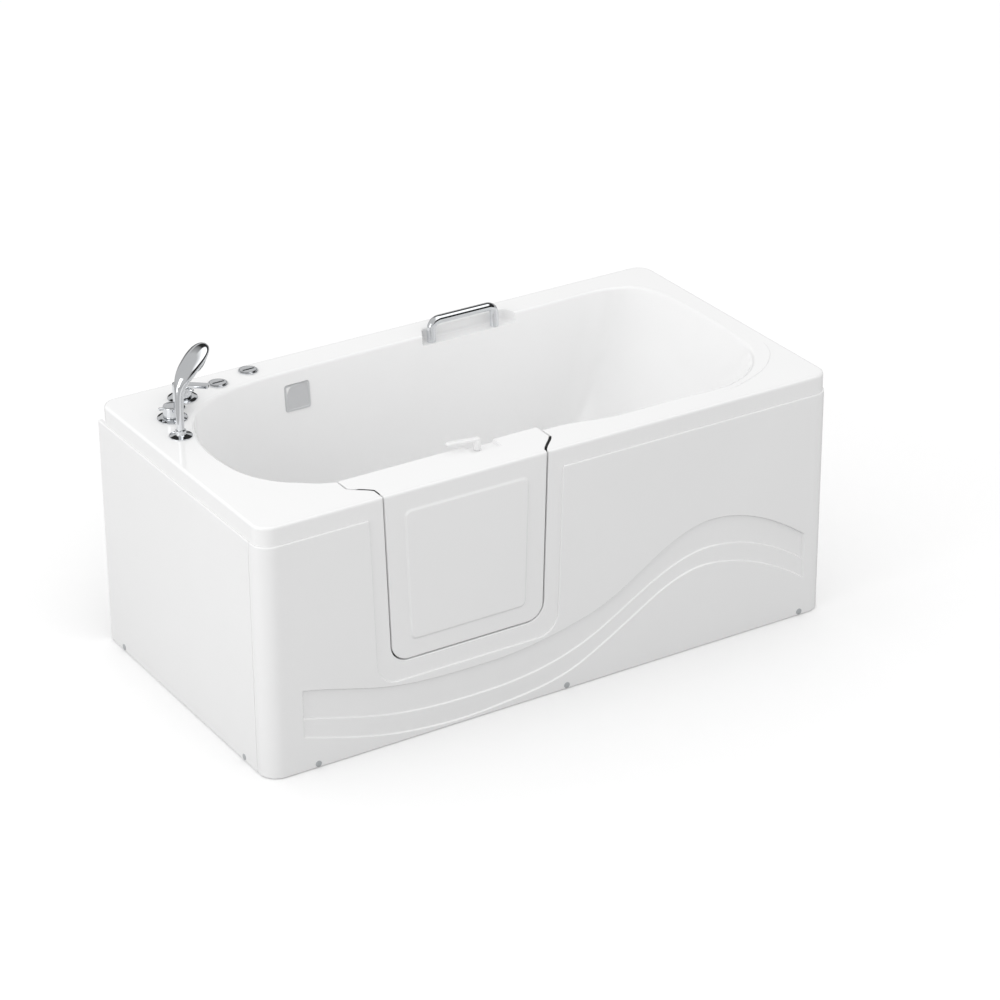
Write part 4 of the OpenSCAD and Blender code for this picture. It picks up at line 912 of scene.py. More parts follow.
    def build(self) -> None:
        """Joins the moulding's forms, cuts its hollows and dresses it."""
        obj = mesh_object("tub_moulding", self.rim())
        spout = np.mean((FRONT_TAP, REAR_TAP), axis=0)
        fittings = (FRONT_TAP, REAR_TAP, spout, DIVERTER, CONTROL, SHOWER)
        through = (self.floor - 20, self.floor + 20)
        holes = join([bore(at, 12.5, 2, (DECK - 14, DECK + 5)) for at in fittings]
                     + [bore(WASTE, 21, 2, through)]
                     + [bore((x, BAR_Y), 4.5, 2, (SHELF - 15, SHELF + 10)) for x in BAR_X])
        carve(obj, [(Join.CUT, "under", self.under_rim()),
                    (Join.ADD, "bowl_out", self.bowl(SKIN, DECK - 2, 0)),
                    (Join.ADD, "surround", self.plug(DOOR_GAP + SKIN, 0.03, DECK - 3)),
                    (Join.ADD, "flange", self.flange()),
                    (Join.ADD, "pocket_out", self.pocket(SKIN, SHELF - SKIN, DECK - 2.5, 0)),
                    (Join.ADD, "swell", self.swell()),
                    (Join.CUT, "bowl_in", self.bowl(0, DECK + 0.2, self.edge)),
                    (Join.CUT, "doorway", self.doorway()),
                    (Join.CUT, "pocket_in", self.pocket(0, SHELF, DECK + 0.15, 5)),
                    (Join.CUT, "holes", holes),
                    (Join.CUT, "strike_hole", bore((BOLT_Y, BOLT_Z), 7.0, 0, (866, 892))),
                    (Join.CUT, "overflow", bore((OVERFLOW_X, OVERFLOW_Z), 22, 1, (745, 812)))])
        finish_piece(obj, Finishes.ACRYLIC, self.body, "tub_rim", "bowl_floor", "bowl_foot",
                     "bowl_turn", "bowl_walls", "bowl_bends", "door_surround", "grab_pocket")


# ------------------------------------------------------------------ panels

@dataclass
class Panels:
    """The apron with its wave, the end panels and the caps over their screws."""

    body: str = "tub"
    top: float = LIP
    fold: float = 8.0
    roll: float = 3.8
    wrap: float = 57.0
    joint: float = 1.5
    ease: float = 0.9
    ends: tuple[float, float] = (100.0, 1631.0)
    deep: float = 7.0
    softness: tuple[float, float] = (1.8, 2.6)  # half widths of the lower steps and the top one
    # The U in the apron: its lower edge, its distance past the door, its lower and upper corners.
    portal_foot: float = 177.0
    portal_reach: float = 46.0
    portal_r: float = 60.0
    portal_top_r: float = 12.0
    cap_z: float = 12.0
    front_caps: tuple[float, ...] = (137.0, 876.0, 1623.0)
    end_caps: tuple[float, ...] = (125.0, 799.0)
    # Knots of the wave's three lines: place along the rim, height and slope.
    upper: tuple[tuple[float, float, float], ...] = (
        (100, 230, -0.2), (380, 162, -0.138), (640, 150.5, 0), (940, 197, 0.277),
        (1130, 295, 0.643), (1330, 370, -0.01), (1631, 245, -0.744))
    middle: tuple[tuple[float, float, float], ...] = (
        (100, 150, -0.269), (370, 82.5, -0.16), (640, 67.5, 0.02), (940, 125.5, 0.429),
        (1130, 229.5, 0.544), (1330, 290, -0.04), (1631, 169.5, -0.739))
    lower: tuple[tuple[float, float, float], ...] = (
        (100, 98.5, -0.312), (380, 25.5, -0.143), (640, 15, 0.085), (940, 76, 0.51),
        (1130, 184, 0.595), (1330, 242, -0.103), (1631, 115.5, -0.712))

    @staticmethod
    def curve(knots: Sequence[Sequence[float]], x: Array) -> Array:
        """Height of a wave line: cubic Hermite pieces between the knots, level beyond them.

        Args:
            knots: rows of place, height and slope.
            x: places along the rim.

        Returns:
            A height for each place.
        """
        k = np.array(knots, float)
        xc = np.clip(x, k[0, 0], k[-1, 0])
        i = np.clip(np.searchsorted(k[:, 0], xc, side="right") - 1, 0, len(k) - 2)
        dx = k[i + 1, 0] - k[i, 0]
        t = (xc - k[i, 0]) / dx
        h = t * t * (3 - 2 * t)
        return ((1 - h) * k[i, 1] + h * k[i + 1, 1]
                + dx * t * (1 - t) * ((1 - t) * k[i, 2] - t * k[i + 1, 2]))

    @staticmethod
    def step(value: Array, middle: Array | float, width: float) -> Array:
        """Smooth step from 0 to 1 around a middle."""
        t = np.clip((value - middle + width) / (2 * width), 0, 1)
        return t * t * (3 - 2 * t)

    def panel(self, path: Array, normal: Array, rows: Array, inset: Array) -> Shape:
        """A panel: its section carried along a path in plan, eased at both ends.

        The section is closed: outer face, rolled top, fold, inner face and lower edge.

        Args:
            path: the face's line in plan.
            normal: outward directions along it.
            rows: heights of the face's points in each column.
            inset: how deep the face lies in each of these points.

        Returns:
            The closed shape.
        """
        n, half = rows.shape
        sine, rest = quarter(5)
        roll_d = np.broadcast_to(self.roll * rest[1:], (n, 4))
        roll_z = np.broadcast_to(self.top - self.roll * (1 - sine[1:]), (n, 4))
        inner = PANEL_T + self.fold
        fold_d = np.broadcast_to([inner, inner, PANEL_T + 1, PANEL_T], (n, 4))
        fold_z = np.broadcast_to([self.top, self.top - 4, self.top - 4, self.top - 5], (n, 4))
        depth = np.hstack([inset, roll_d, fold_d, inset[:, ::-1] + PANEL_T])
        height = np.hstack([rows, roll_z, fold_z, rows[:, ::-1]])
        for end in (0, -1):
            depth[end, :half] += self.ease
            depth[end, -half:] -= self.ease
        plan = path[:, None] - depth[..., None] * normal[:, None]
        return loft(np.concatenate([plan, height[..., None]], -1))

    def apron(self) -> None:
        """The front panel, wrapped round both corners, with the recessed wave and the U cut."""
        r = CORNER_R + PANEL_T
        a = np.linspace(0, np.pi / 2, 13)
        left = np.column_stack([CORNER_R - r * np.cos(a), CORNER_R - r * np.sin(a)])
        x0, x1 = self.ends
        cols = np.unique(np.concatenate([
            np.linspace(CORNER_R, RIM_L - CORNER_R, 270), x0 + np.linspace(-5, 5, 9),
            x1 + np.linspace(-5, 5, 9)]))[1:-1]
        front = np.column_stack([cols, np.full(len(cols), -PANEL_T)])
        start = np.array([[-PANEL_T, self.wrap], [-PANEL_T, self.wrap - 1]])
        path = np.vstack([start, left, front, (left * (-1, 1) + (RIM_L, 0))[::-1],
                          (start * (-1, 1) + (RIM_L, 0))[::-1]])
        side = np.column_stack([-np.cos(a), -np.sin(a)])
        end_n = np.array([[-1.0, 0.0], [-1.0, 0.0]])
        normal = np.vstack([end_n, side, np.tile((0.0, -1.0), (len(cols), 1)),
                            (side * (-1, 1))[::-1], -end_n])
        x = path[:, 0]
        low, mid, up = (self.curve(k, x)[:, None] for k in (self.lower, self.middle, self.upper))
        near = np.array([-6, -4, -2.6, -1.6, -0.8, 0, 0.8, 1.6, 2.6, 4, 6.0])
        t4, t8 = np.linspace(0, 1, 6)[None, 1:-1], np.linspace(0, 1, 14)[None, 1:-1]
        foot, head = PANEL_FOOT + 0.8, self.top - self.roll
        rows = np.hstack([np.full_like(low, PANEL_FOOT), np.full_like(low, foot),
                          foot + (low - 6 - foot) * t4, low + near,
                          low + 6 + (mid - low - 12) * t4, mid + near,
                          mid + 6 + (up - mid - 12) * t4, up + near,
                          up + 6 + (head - up - 6) * t8, np.full_like(low, head)])
        inside = (self.step(x, x0, 3.0) * (1 - self.step(x, x1, 3.0)))[:, None]
        soft, soft_top = self.softness
        inset = inside * self.deep * (0.5 * self.step(rows, low, soft)
                                      + 0.5 * self.step(rows, mid, soft)
                                      - self.step(rows, up, soft_top))
        inset = np.maximum(inset, 0)
        inset[:, 0] += 0.8
        obj = mesh_object("front_panel", self.panel(path, normal, rows, inset))
        carve(obj, [(Join.CUT, "portal", self.portal())])
        finish_piece(obj, Finishes.PANEL, self.body, "front_apron")

    def portal(self) -> Shape:
        """The U that the apron leaves free round the doorway, with a rolled front edge.

        Returns:
            The closed solid that is cut away.
        """
        def outline(g: float) -> Array:
            """The U's outline, grown.

            Args:
                g: how far.

            Returns:
                The outline in x and z.
            """
            foot, reach = self.portal_foot - g, self.portal_reach + g
            side = DOOR_X - half_door(LIP, reach)
            return mirrored([(side - 40, LIP + 7, 0.5), (side, LIP + 0.9, self.portal_top_r - g),
                             (DOOR_X - half_door(foot, reach), foot, self.portal_r + g)], 12,
                            (DOOR_X, LIP + 70, 1))
        wide, front = 3.6, -PANEL_T - 0.12
        roll = bezier(np.array([wide, front]), np.array([0.0, front]), np.array([0.0, -0.5]), 6)
        rings = [with_y(outline(wide), -9)] + [with_y(outline(g), y) for g, y in roll]
        return loft(rings + [with_y(outline(0), 14)])

    def end_panel(self, name: str, mirrored: bool) -> None:
        """A flat end panel from behind the apron's return to the back of the rim.

        Args:
            name: the CAD node that it stands for.
            mirrored: whether it is the one at the head end.
        """
        y = np.concatenate([[self.wrap + self.joint, self.wrap + self.joint + 1],
                            np.linspace(70, RIM_W - 8, 20), [RIM_W - 1, RIM_W]])
        path = np.column_stack([np.full(len(y), -PANEL_T), y])
        normal = np.tile((-1.0, 0.0), (len(y), 1))
        if mirrored:
            path, normal = path * (-1, 1) + (RIM_L, 0), -normal
        z = np.concatenate([[PANEL_FOOT, PANEL_FOOT + 0.8],
                            np.linspace(20, self.top - 20, 16), [self.top - self.roll]])
        rows = np.tile(z, (len(y), 1))
        inset = np.zeros_like(rows)
        inset[:, 0] = 0.8
        obj = mesh_object(f"{name}_face", self.panel(path, normal, rows, inset))
        finish_piece(obj, Finishes.PANEL, self.body, name)

    def caps(self) -> None:
        """Domed caps over the panel screws: a low crown whose height falls with r squared."""
        r = np.array([0, 2, 4, 5.6, 6.8, 7.6, 8.2, 8.5])
        crown = np.column_stack([r, 2.0 - 1.15 * (r / 8.5) ** 4])
        profile = np.vstack([crown, [(8.5, 0.0), (5.4, 0.0), (5.4, 1.4), (0.0, 1.4)]])
        cap = lathe(profile, (0, 0, 0), n=40)
        front = np.array([[1, 0, 0], [0, 0, -1], [0, 1, 0]], float)
        left = np.array([[0, 0, -1], [1, 0, 0], [0, 1, 0]], float)
        right = np.array([[0, 0, 1], [1, 0, 0], [0, 1, 0]], float)
        z = self.cap_z
        shapes = [cap.moved(front, np.array([x, -PANEL_T, z])) for x in self.front_caps]
        for y in self.end_caps:
            shapes.append(cap.moved(left, np.array([-PANEL_T, y, z])))
            shapes.append(cap.moved(right, np.array([RIM_L + PANEL_T, y, z])))
        new_piece("panel_screw_caps", shapes, Finishes.GREY_PLASTIC, self.body, "screw_caps")

    def build(self) -> None:
        """Makes all the panels."""
        self.apron()
        self.end_panel("left_end_panel", False)
        self.end_panel("right_end_panel", True)
        self.caps()


# ------------------------------------------------------------------ door

@dataclass
class Door:
    """The plug door: its moulding with the raised field, and the latch lever on its top."""

    body: str = "door"
    lever_body: str = "latch_lever"
    proud: float = 4.0
    set_back: float = 5.0
    inner_r: float = 4.0
    notch_x: tuple[float, float] = (655.0, 742.0)
    notch_y: float = 92.0
    notch_z: float = 690.0
    border: float = 56.0
    sill: float = 52.0
    lever_l: float = 76.0
    lever_r: float = 8.5
    lever_rise: float = 17.0
    lever_turn: float = 10.0

    def field_ring(self, grow: float, y: float) -> Array:
        """A ring of the raised field's outline.

        Args:
            grow: how far it lies outside the edge.
            y: its depth.

        Returns:
            The ring.
        """
        reach = grow - self.border
        top, foot, r = DECK + reach, DOOR_FOOT + self.sill - grow, max(16 + grow, 3)
        return with_y(mirrored([(DOOR_X - half_door(top, reach), top, r),
                                (DOOR_X - half_door(foot, reach), foot, r)], 12), y)

    def moulding(self) -> Shape:
        """Rings from the field's middle over its soft edge and the door's sides to its back.

        Returns:
            The closed solid.
        """
        rise = np.linspace(0, 1, 9)
        soft = rise * rise * (3 - 2 * rise)
        rings = [self.field_ring(-90, -self.proud), self.field_ring(-8, -self.proud)]
        rings += [self.field_ring(-4 + 8 * t, -self.proud * (1 - s)) for t, s in zip(rise, soft)]
        rings.append(self.field_ring(8, 0))
        sine, rest = quarter(7)
        for s, r in zip(sine, rest):
            outline = door_outline(0, -3 * (1 - s), DECK - EDGE_R * (1 - s))
            near = np.clip((outline[:, 1] - (DECK - 20)) / 14, 0, 1)
            rings.append(with_y(outline, 3 * r * (1 - near) + EDGE_R * r * near))
        back = self.set_back
        rings += [slanted(door_outline(s, 0, DECK), s, a + back, b + back)
                  for s, a, b in flare_steps()]
        for s, r in zip(sine[::-1], rest[::-1]):
            grow = -self.inner_r * (1 - s)
            rings.append(with_y(door_outline(DOOR_FLARE, grow, DECK + grow),
                                DOOR_DEPTH - self.inner_r * r))
        return loft(rings)

    def notch(self) -> Shape:
        """The hollow under the lever: a rounded plan with a fillet at its floor.

        Returns:
            The closed solid that is cut away.
        """
        x0, x1 = self.notch_x
        rows = [with_z(rounded_box((x0 + i, x1 - i, self.notch_y + i, DOOR_DEPTH + 20), 8, 8), z)
                for i, z in ((3, self.notch_z), (1.2, self.notch_z + 0.6),
                             (0.4, self.notch_z + 1.6), (0, self.notch_z + 3),
                             (0, DECK - 1.5), (-0.5, DECK - 0.5), (-1.6, DECK + 0.1),
                             (-1.6, DECK + 6))]
        return loft(rows)

    def lever(self) -> None:
        """The latch lever: a bar with round ends and a crowned top, turned on its hub."""
        t = np.linspace(-np.pi / 2, np.pi / 2, 17)
        spin = turned(math.radians(self.lever_turn))[:2, :2]

        def plan(r: float) -> Array:
            """The lever's plan with ends of radius r.

            Args:
                r: the radius.

            Returns:
                The outline.
            """
            hub = np.column_stack([r * np.cos(t), r * np.sin(t)])
            tip = np.column_stack([-self.lever_l - r * np.cos(t), -r * np.sin(t)])
            return np.vstack([hub, tip]) @ spin + LATCH
        z = DECK + self.lever_rise
        # How far each outline lies inside the widest one, and how high above the lowest.
        rows = [(1.5, 0), (0.3, 0.7), (0, 2), (0, 3.5), (0.6, 5.5), (2, 6.9), (4, 7.7), (7, 8)]
        bar = loft([with_z(plan(self.lever_r - i), z + h) for i, h in rows])
        hub = lathe([(0, z + 1), (8, z + 1), (9.5, z - 0.5), (9.5, self.notch_z + 1.2),
                     (8.7, self.notch_z + 0.4), (4.95, self.notch_z + 0.4), (4.95, 671),
                     (0, 671)], (*LATCH, 0), n=40)
        new_piece("latch_handle", [bar, hub], Finishes.WHITE_PLASTIC, self.lever_body,
                  "latch_lever")

    def build(self) -> None:
        """Makes the moulding and the lever."""
        obj = mesh_object("door_moulding", self.moulding())
        spindle = lathe([(0, 640), (5.1, 640), (5.1, 720), (0, 720)], (*LATCH, 0), n=32)
        bolt = bore((BOLT_Y, BOLT_Z), 6.4, 0, (LATCH[0], 884))
        carve(obj, [(Join.CUT, "notch", self.notch()), (Join.CUT, "spindle", spindle),
                    (Join.CUT, "bolt_hole", bolt)])
        finish_piece(obj, Finishes.ACRYLIC, self.body, "door_outer_skin", "door_inner_liner")
        self.lever()


# ------------------------------------------------------------------ fittings

@dataclass
class DeckFittings:
    """Taps, spout, knobs and the hand shower with its holder."""

    body: str = "tub"
    # Direction from the front tap to the rear one, in radians.
    across: float = math.atan2(REAR_TAP[1] - FRONT_TAP[1], REAR_TAP[0] - FRONT_TAP[0])
    pin_turn: float = math.radians(110)
    handle_up: float = 6.4
    knob_up: float = 2.3
    spout_axis: float = 66.5
    shower_turn: float = math.radians(20)
    # The spray disc: its middle on the hand shower's line, how far it stands off, and its form.
    spray_at: tuple[float, float, float] = (60.0, 0.0, 189.5)
    spray_off: float = 12.5
    spray_tilt: float = math.radians(50)
    spray_half: tuple[float, float] = (37.0, 25.0)

    def rings(self, name: str, profile: Sequence[Sequence[float]],
              places: Sequence[tuple[float, float]], node: str) -> None:
        """One piece of equal rings that stand on the deck, each round its bore."""
        shapes = [lathe(profile, (*at, DECK), closed=True) for at in places]
        new_piece(name, shapes, Finishes.CHROME, self.body, node)

    def flanges(self) -> None:
        """The taps' flanges: a low cone with a soft outer edge round the shank."""
        profile = [(12.1, 0), (39, 0), (40, 0.6), (40, 2.2), (39.3, 3.2), (37.5, 3.8), (33, 5.1),
                   (31, 5.6), (28, 5.9), (12.1, 5.9)]
        self.rings("tap_base_flanges", profile, (FRONT_TAP, REAR_TAP), "tap_flanges")

    def handle(self, name: str, at: tuple[float, float], turn: float, body: str) -> None:
        """A round tap handle with a dished top and a short pin that points along turn.

        Args:
            name: the CAD node that it stands for.
            at: the tap's axis.
            turn: the pin's direction in radians.
            body: the body that it rides on.
        """
        base = np.array([*at, DECK + self.handle_up])
        profile = [(0, 29.2), (12, 29.2), (18, 29.5), (20.8, 30), (22.6, 29.6), (23.7, 28.4),
                   (24, 26.8), (24, 6.5), (23.4, 6), (23.4, 5), (24, 4.5), (24, 1), (23.2, 0.1),
                   (8.1, 0.1), (8.1, 15.1), (0, 15.1)]
        grip = lathe(profile, base, n=72)
        foot, tip = (base + (far * math.cos(turn), far * math.sin(turn), 22) for far in (20, 32))
        pin = capsule(foot, tip, 4.0)
        new_piece(f"{name}_grip", [grip, pin], Finishes.CHROME, body, name)

    def spout(self) -> None:
        """The spout: a round column, and a flat bar on it with a slot at its mouth."""
        x, y = np.mean((FRONT_TAP, REAR_TAP), axis=0)
        column = lathe([(0, 69.5), (9.5, 69.5), (10.6, 68.5), (11, 67), (11, 9), (11.6, 6),
                        (13.4, 4.4), (18.6, 3.9), (20, 2.9), (20, 0.1), (12, 0.1), (12, -28),
                        (7.1, -28), (7.1, -20), (0, -20)], (x, y, DECK), n=56)
        section = rounded_box((-11, 11, -4.5, 4.5), 1.8, 5)
        back, tail = quarter(9)[0], np.linspace(0.12, np.pi / 2, 9)
        s = np.concatenate([-11 * np.cos(tail), [20, 50, 80, 83, 84, 84, 83.5, 70]])
        wide = np.concatenate([np.sin(tail), [1, 1, 1, 0.995, 0.96, 0.80, 0.74, 0.72]])
        tall = np.concatenate([0.55 + 0.45 * back, [1, 1, 1, 0.99, 0.9, 0.55, 0.5, 0.48]])
        rings = np.empty((len(s), len(section), 3))
        rings[..., 0] = s[:, None]
        rings[..., 1] = section[:, 0] * wide[:, None]
        rings[..., 2] = section[:, 1] * tall[:, None] + self.spout_axis
        arm = loft(rings).moved(turned(self.across - math.pi / 2), np.array([x, y, DECK]))
        new_piece("bath_spout_arm", [column, arm], Finishes.CHROME, self.body, "bath_spout")

    def knobs(self) -> None:
        """The two deck knobs: a raised ring, and in it a disc with a finger bar."""
        ring = [(12.1, 0), (25.8, 0), (26.5, 0.8), (26.5, 2.8), (25.9, 3.7), (24.6, 4.0),
                (23.2, 3.8), (22.5, 3.1), (22.5, 2.0), (12.1, 2.0)]
        self.rings("knob_trim_rings", ring, (DIVERTER, CONTROL), "knob_rings")
        z = DECK + self.knob_up
        for name, body, at in (("diverter_knob", "diverter", DIVERTER),
                               ("control_knob", "waste_control", CONTROL)):
            disc = lathe([(0, 3.3), (16, 3.4), (19.8, 3.7), (21.4, 3.3), (22.1, 2.4), (22.1, 0.5),
                          (21.6, 0), (8.1, 0), (8.1, 2), (0, 2)], (*at, z))
            bar = loft([with_z(rounded_box((-18 + i, 18 - i, -2 + i * 0.6, 2 - i * 0.6),
                                           1.6 - 0.4 * i, 4) + at, h)
                        for i, h in ((0, z + 2.6), (0, z + 4.6), (0.4, z + 5), (1.2, z + 5.2))])
            new_piece(f"{name}_disc", [disc, bar], Finishes.CHROME, body, name)

    def holder(self) -> None:
        """The hand shower's holder: flange, cone and socket round one bore."""
        profile = [(10.1, 18), (12.6, 18), (13.7, 17.4), (14, 16.4), (14, 9.5), (14.5, 8),
                   (16.5, 6.6), (29.3, 3.1), (30.3, 2.4), (30.5, 1.6), (30.5, 0), (12, 0),
                   (12, -26), (8.1, -26), (8.1, 0), (10.1, 0)]
        self.rings("shower_socket", profile, (SHOWER,), "shower_holder")

    def head_line(self) -> tuple[Array, Array, Array]:
        """Middle line, half width and half thickness of the hand shower, from foot to tip.

        Returns:
            The line in x and z, and the two halves along it.
        """
        keys = np.array([(0, 0, 10, 10), (0, 29, 10, 10), (0, 60, 10.5, 10.5),
                         (0.5, 95, 11, 11), (2, 120, 12.5, 12), (7, 138, 17, 14),
                         (17, 153, 23, 16), (32, 168, 28, 17), (50, 182, 30.5, 17),
                         (68, 195, 31, 16), (84, 206, 28, 13.5), (95, 213, 22, 10.5),
                         (102, 217, 14, 7), (105, 219, 5, 3)], float)
        row = spline(keys, np.linspace(0, len(keys) - 1, 90))
        return row[:, :2], row[:, 2], row[:, 3]

    def hand_shower(self) -> None:
        """The hand shower: a round grip that spreads into a full drop, and its spray disc."""
        line, half, thick = self.head_line()
        path = np.column_stack([line[:, 0], np.zeros(len(line)), line[:, 1]])
        body = sweep(path, circle(48) * np.stack([half, thick], -1)[:, None], (0, 1, 0))
        turn, shift = turned(self.shower_turn), np.array([*SHOWER, DECK])
        new_piece("hand_shower_drop", [body.moved(turn, shift)], Finishes.CHROME, "hand_shower",
                  "hand_shower")
        new_piece("spray_plate", [shape.moved(turn, shift) for shape in self.spray()],
                  Finishes.SPRAY, "hand_shower", "spray_face")

    def spray(self) -> list[Shape]:
        """An oval disc on the head's lower side, and rows of small nozzles on it.

        Returns:
            The disc and then the nozzles.
        """
        c, s = math.cos(self.spray_tilt), math.sin(self.spray_tilt)
        out = np.array([c, 0, -s])
        centre = np.array(self.spray_at) + out * self.spray_off
        # The oval's half axes: along the head and across it.
        oval = np.array([[s, 0, c], [0, 1, 0]]) * np.array(self.spray_half)[:, None]
        rows = [(0.02, 5.8), (0.5, 5.2), (0.8, 4.0), (0.93, 3.0), (0.985, 2.0), (1.0, 1.0),
                (1.0, -5.0)]
        shapes = [loft([centre + out * h + k * circle(48) @ oval for k, h in rows])]
        for count, k in ((1, 0.0), (6, 0.27), (12, 0.52), (18, 0.77)):
            for foot in centre + k * circle(count) @ oval:
                top = foot + out * (5.8 - 2.6 * k * k)
                shapes.append(capsule(top - out, top + out * 0.4, 1.1, 8))
        return shapes

    def build(self) -> None:
        """Makes all the fittings on the deck."""
        self.flanges()
        self.handle("front_tap_handle", FRONT_TAP, self.across + self.pin_turn, "front_tap")
        self.handle("rear_tap_handle", REAR_TAP, self.across - self.pin_turn, "rear_tap")
        self.spout()
        self.knobs()
        self.holder()
        self.hand_shower()


@dataclass
class BowlFittings:
    """The grab bar and the overflow plate."""

    body: str = "tub"
    axis: float = 60.0
    bend: float = 24.0
    radius: float = 12.0
    plate_at: tuple[float, float, float] = (OVERFLOW_X, 778.3, OVERFLOW_Z)
    plate_lean: float = math.atan(50 / 529)

    def grab_bar(self) -> None:
        """A round tube carried up, round a quarter circle, along and down again."""
        a = np.linspace(0, np.pi / 2, 15)
        x0, x1 = BAR_X
        z0 = SHELF + self.axis - self.bend
        bend = np.column_stack([x0 + self.bend * (1 - np.cos(a)), z0 + self.bend * np.sin(a)])
        left = np.vstack([[(x0, SHELF + z) for z in (0.1, 2, 10)], bend])
        right = left[::-1] * (-1, 1) + (x0 + x1, 0)
        path = with_y(np.vstack([left, right]), BAR_Y)
        tube = sweep(path, self.radius * circle(40), (0, 1, 0))
        stud = [(0, 2), (4, 2), (4, -18), (0, -18)]
        studs = [lathe(stud, (x, BAR_Y, SHELF), n=24) for x in BAR_X]
        new_piece("grab_bar_tube", [tube, *studs], Finishes.CHROME, self.body, "grab_bar")

    def overflow_plate(self) -> None:
        """A square plate with a raised rim: rounded squares stacked along the wall's normal."""
        rows = ((38, 0.1, 8), (38, 7.2, 8), (37.5, 8.4, 7.6), (36.4, 9.0, 7), (33.6, 9.0, 5),
                (32.6, 8.6, 4.4), (32, 7.6, 4), (31.2, 7.1, 3.6), (30, 7.0, 3), (10, 7.2, 3))
        c, s = math.cos(self.plate_lean), math.sin(self.plate_lean)
        turn = np.array([[1, 0, 0], [0, -s, -c], [0, -c, s]])
        outline = [with_z(rounded_box((-h, h, -h, h), r), z) for h, z, r in rows]
        plate = loft(outline).moved(turn, np.array(self.plate_at))
        new_piece("overflow_cover", [plate], Finishes.SATIN, self.body, "overflow_plate")

    def build(self) -> None:
        """Makes both."""
        self.grab_bar()
        self.overflow_plate()


# ------------------------------------------------------------------ studio

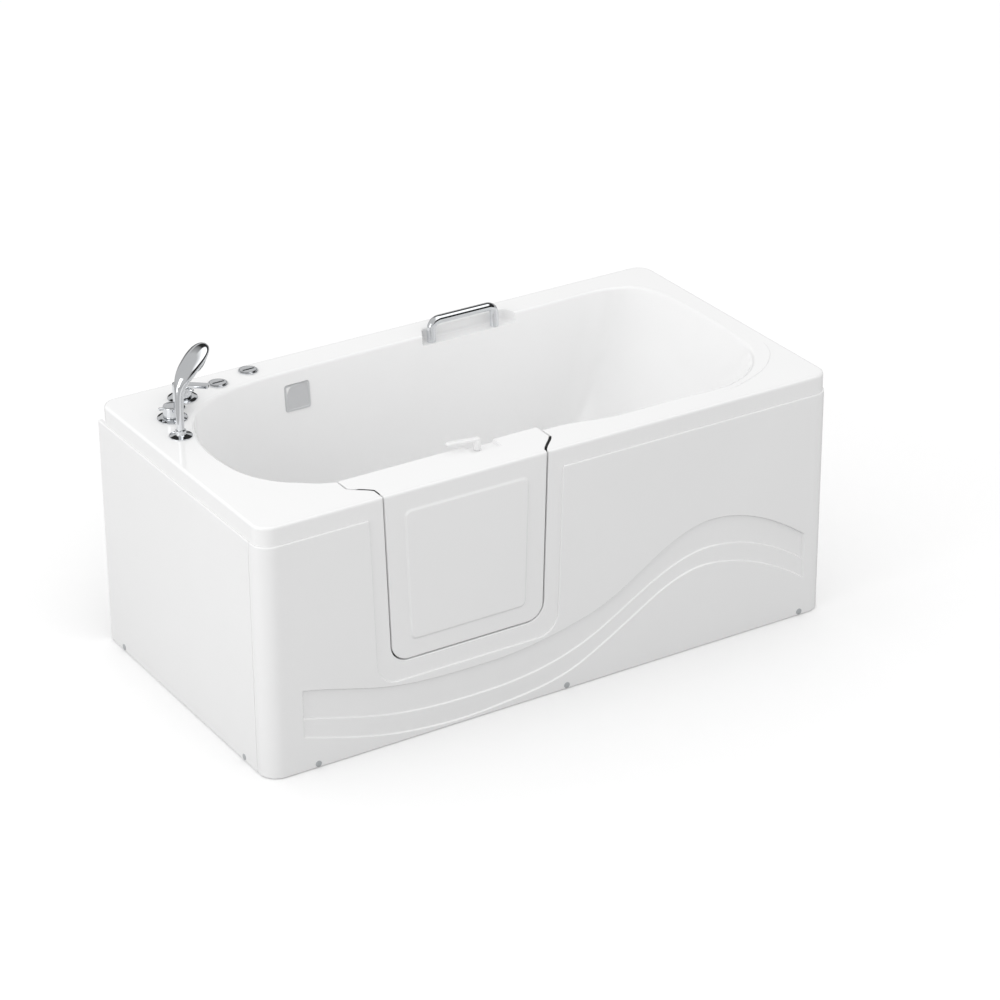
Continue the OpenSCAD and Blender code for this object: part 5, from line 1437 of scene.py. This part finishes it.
@dataclass
class Studio:
    """Floor, lamps, the banded sky that the metal reflects, and the camera."""

    eye: tuple[float, float, float] = (-4.234, -6.980, 4.452)
    target: tuple[float, float, float] = (0.0995, 0.0034, 0.3437)
    roll: float = -0.35
    lens: float = 124.1
    # Strength of the light, and the floor's grey, its white for the camera and its own glow.
    sky: float = 1.03
    bounce: float = 0.46
    paint: float = 0.86
    glow: float = 0.13
    # What reflections see: the strength, and the grey on the left up to where the bands start.
    glare: float = 1.5
    side_grey: float = 0.40
    side: tuple[float, float] = (-0.25, 0.05)
    bow: float = -0.35  # share of y in the height, so the bands rise towards the back
    # The bands: height of the direction, and share of the strength.
    bands: tuple[tuple[float, float], ...] = (
        (-0.4, 0.02), (-0.06, 0.02), (0.0, 0.41), (0.24, 0.41), (0.30, 0.02), (0.80, 0.02),
        (0.87, 1.0), (1.1, 1.0))
    # Name, place, size and power of the soft lamps, and the point that they face.
    lamps: tuple[tuple, ...] = (("left_lamp", (-4.5, -0.8, 2.0), 2.4, 30),
                                ("low_lamp", (-3.6, 0.1, 0.5), 0.9, 5))
    aim: tuple[float, float, float] = (0.0, 0.0, 0.4)

    def camera(self) -> None:
        """The camera, aimed at its target and rolled about its own axis."""
        data = bpy.data.cameras.new("camera")
        data.lens, data.sensor_width, data.sensor_fit = self.lens, 36.0, "HORIZONTAL"
        data.clip_end = 60
        cam = placed("camera", data)
        eye = Vector(self.eye)
        aim = (Vector(self.target) - eye).to_track_quat("-Z", "Y").to_matrix().to_4x4()
        cam.matrix_world = (Matrix.Translation(eye) @ aim
                            @ Matrix.Rotation(math.radians(self.roll), 4, "Z"))
        bpy.context.scene.camera = cam

    def world(self) -> None:
        """Even pale light from all round, dimmer in reflections, plain white for the camera."""
        world = bpy.data.worlds.new("studio")
        tree = empty_tree(world)
        path = add_node(tree, "ShaderNodeLightPath")
        seen = add_node(tree, "ShaderNodeMath", {"operation": "MAXIMUM"},
                        {0: path.outputs["Is Camera Ray"], 1: path.outputs["Is Transmission Ray"]})
        power = add_node(tree, "ShaderNodeMix", {"data_type": "FLOAT"},
                         {0: path.outputs["Is Glossy Ray"], 2: self.sky,
                          3: self.reflected(tree)})
        light = add_node(tree, "ShaderNodeBackground", {},
                         {0: WHITE, 1: power.outputs[0]})
        plain = add_node(tree, "ShaderNodeBackground", {}, {0: WHITE, 1: 1.0})
        mix = add_node(tree, "ShaderNodeMixShader", {},
                       {0: seen.outputs[0], 1: light.outputs[0], 2: plain.outputs[0]})
        add_node(tree, "ShaderNodeOutputWorld", {}, {0: mix.outputs[0]})
        bpy.context.scene.world = world

    def reflected(self, tree: bpy.types.NodeTree) -> bpy.types.NodeSocket:
        """Strength of the sky in reflections: bands by height, and plain grey on the left.

        The bands give curved metal its black and white lines. Level faces see only the grey band.

        Args:
            tree: the world's node tree.

        Returns:
            The socket with the strength.
        """
        place = add_node(tree, "ShaderNodeTexCoord").outputs["Generated"]
        way = add_node(tree, "ShaderNodeSeparateXYZ", {}, {0: place})
        height = add_node(tree, "ShaderNodeMath", {"operation": "MULTIPLY_ADD"},
                          {0: way.outputs["Y"], 1: self.bow, 2: way.outputs["Z"]})
        low, high = self.bands[0][0], self.bands[-1][0]
        share = add_node(tree, "ShaderNodeMapRange", {}, {0: height.outputs[0], 1: low, 2: high})
        ramp = add_node(tree, "ShaderNodeValToRGB", {}, {0: share.outputs[0]})
        stops = ramp.color_ramp.elements
        stops.remove(stops[1])
        for i, (at, grey) in enumerate(self.bands):
            stop = stops.new((at - low) / (high - low)) if i else stops[0]
            stop.color = (grey, grey, grey, 1)
        start, end = self.side
        side = add_node(tree, "ShaderNodeMapRange", {}, {0: way.outputs["X"], 1: start, 2: end})
        part = add_node(tree, "ShaderNodeMix", {"data_type": "FLOAT"},
                        {0: side.outputs[0], 2: self.side_grey, 3: ramp.outputs[0]})
        return add_node(tree, "ShaderNodeMath", {"operation": "MULTIPLY"},
                        {0: part.outputs[0], 1: self.glare}).outputs[0]

    def floor(self) -> None:
        """A wide floor, white with the tub's shadow to the eye and grey in what it throws back."""
        mat = bpy.data.materials.new("studio_floor")
        tree = empty_tree(mat)
        path = add_node(tree, "ShaderNodeLightPath")
        dark, matt = (add_node(tree, "ShaderNodeBsdfDiffuse", {}, {0: (grey, grey, grey, 1)})
                      for grey in (self.bounce, self.paint))
        glow = add_node(tree, "ShaderNodeEmission", {}, {0: WHITE, 1: self.glow})
        lit = add_node(tree, "ShaderNodeAddShader", {}, {0: matt.outputs[0], 1: glow.outputs[0]})
        mix = add_node(tree, "ShaderNodeMixShader", {},
                       {0: path.outputs["Is Camera Ray"], 1: dark.outputs[0], 2: lit.outputs[0]})
        add_node(tree, "ShaderNodeOutputMaterial", {}, {0: mix.outputs[0]})
        mesh = bpy.data.meshes.new("studio_floor")
        mesh.from_pydata([(-14, -12, 0), (14, -12, 0), (14, 16, 0), (-14, 16, 0)], [],
                         [(0, 1, 2, 3)])
        mesh.materials.append(mat)
        obj = placed("studio_floor", mesh)

    def lamp(self, name: str, at: Sequence[float], size: float, watts: float) -> None:
        """A square soft lamp that faces the tub.

        Args:
            name: its name.
            at: its place.
            size: its side's length.
            watts: its power.
        """
        data = bpy.data.lights.new(name, "AREA")
        data.shape, data.size, data.energy = "SQUARE", size, watts
        obj = placed(name, data)
        obj.location = at
        obj.rotation_euler = (Vector(self.aim) - Vector(at)).to_track_quat("-Z", "Y").to_euler()
        obj.visible_camera = False

    def build(self) -> None:
        """Sets the stage."""
        self.camera()
        self.world()
        self.floor()
        for lamp in self.lamps:
            self.lamp(*lamp)
        bpy.context.scene.view_settings.view_transform = "Standard"


def dress_nodes() -> None:
    """Gives each CAD node that stays its finish."""
    for finish, names in NODE_FINISHES.items():
        for name in names:
            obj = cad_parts[name]
            mat = finish.value.build()
            for slot in obj.material_slots:
                slot.material = mat
            if not obj.material_slots:
                obj.data.materials.append(mat)
            LOG.info("%s: %s", name, finish.value.name)


def main() -> None:
    """Builds the tub's pieces in order and sets the studio."""
    logging.basicConfig(level=logging.INFO, format="%(name)s %(message)s")
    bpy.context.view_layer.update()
    Studio().build()
    Tub().build()
    Panels().build()
    Door().build()
    DeckFittings().build()
    BowlFittings().build()
    dress_nodes()


if __name__ == "__main__":
    main()
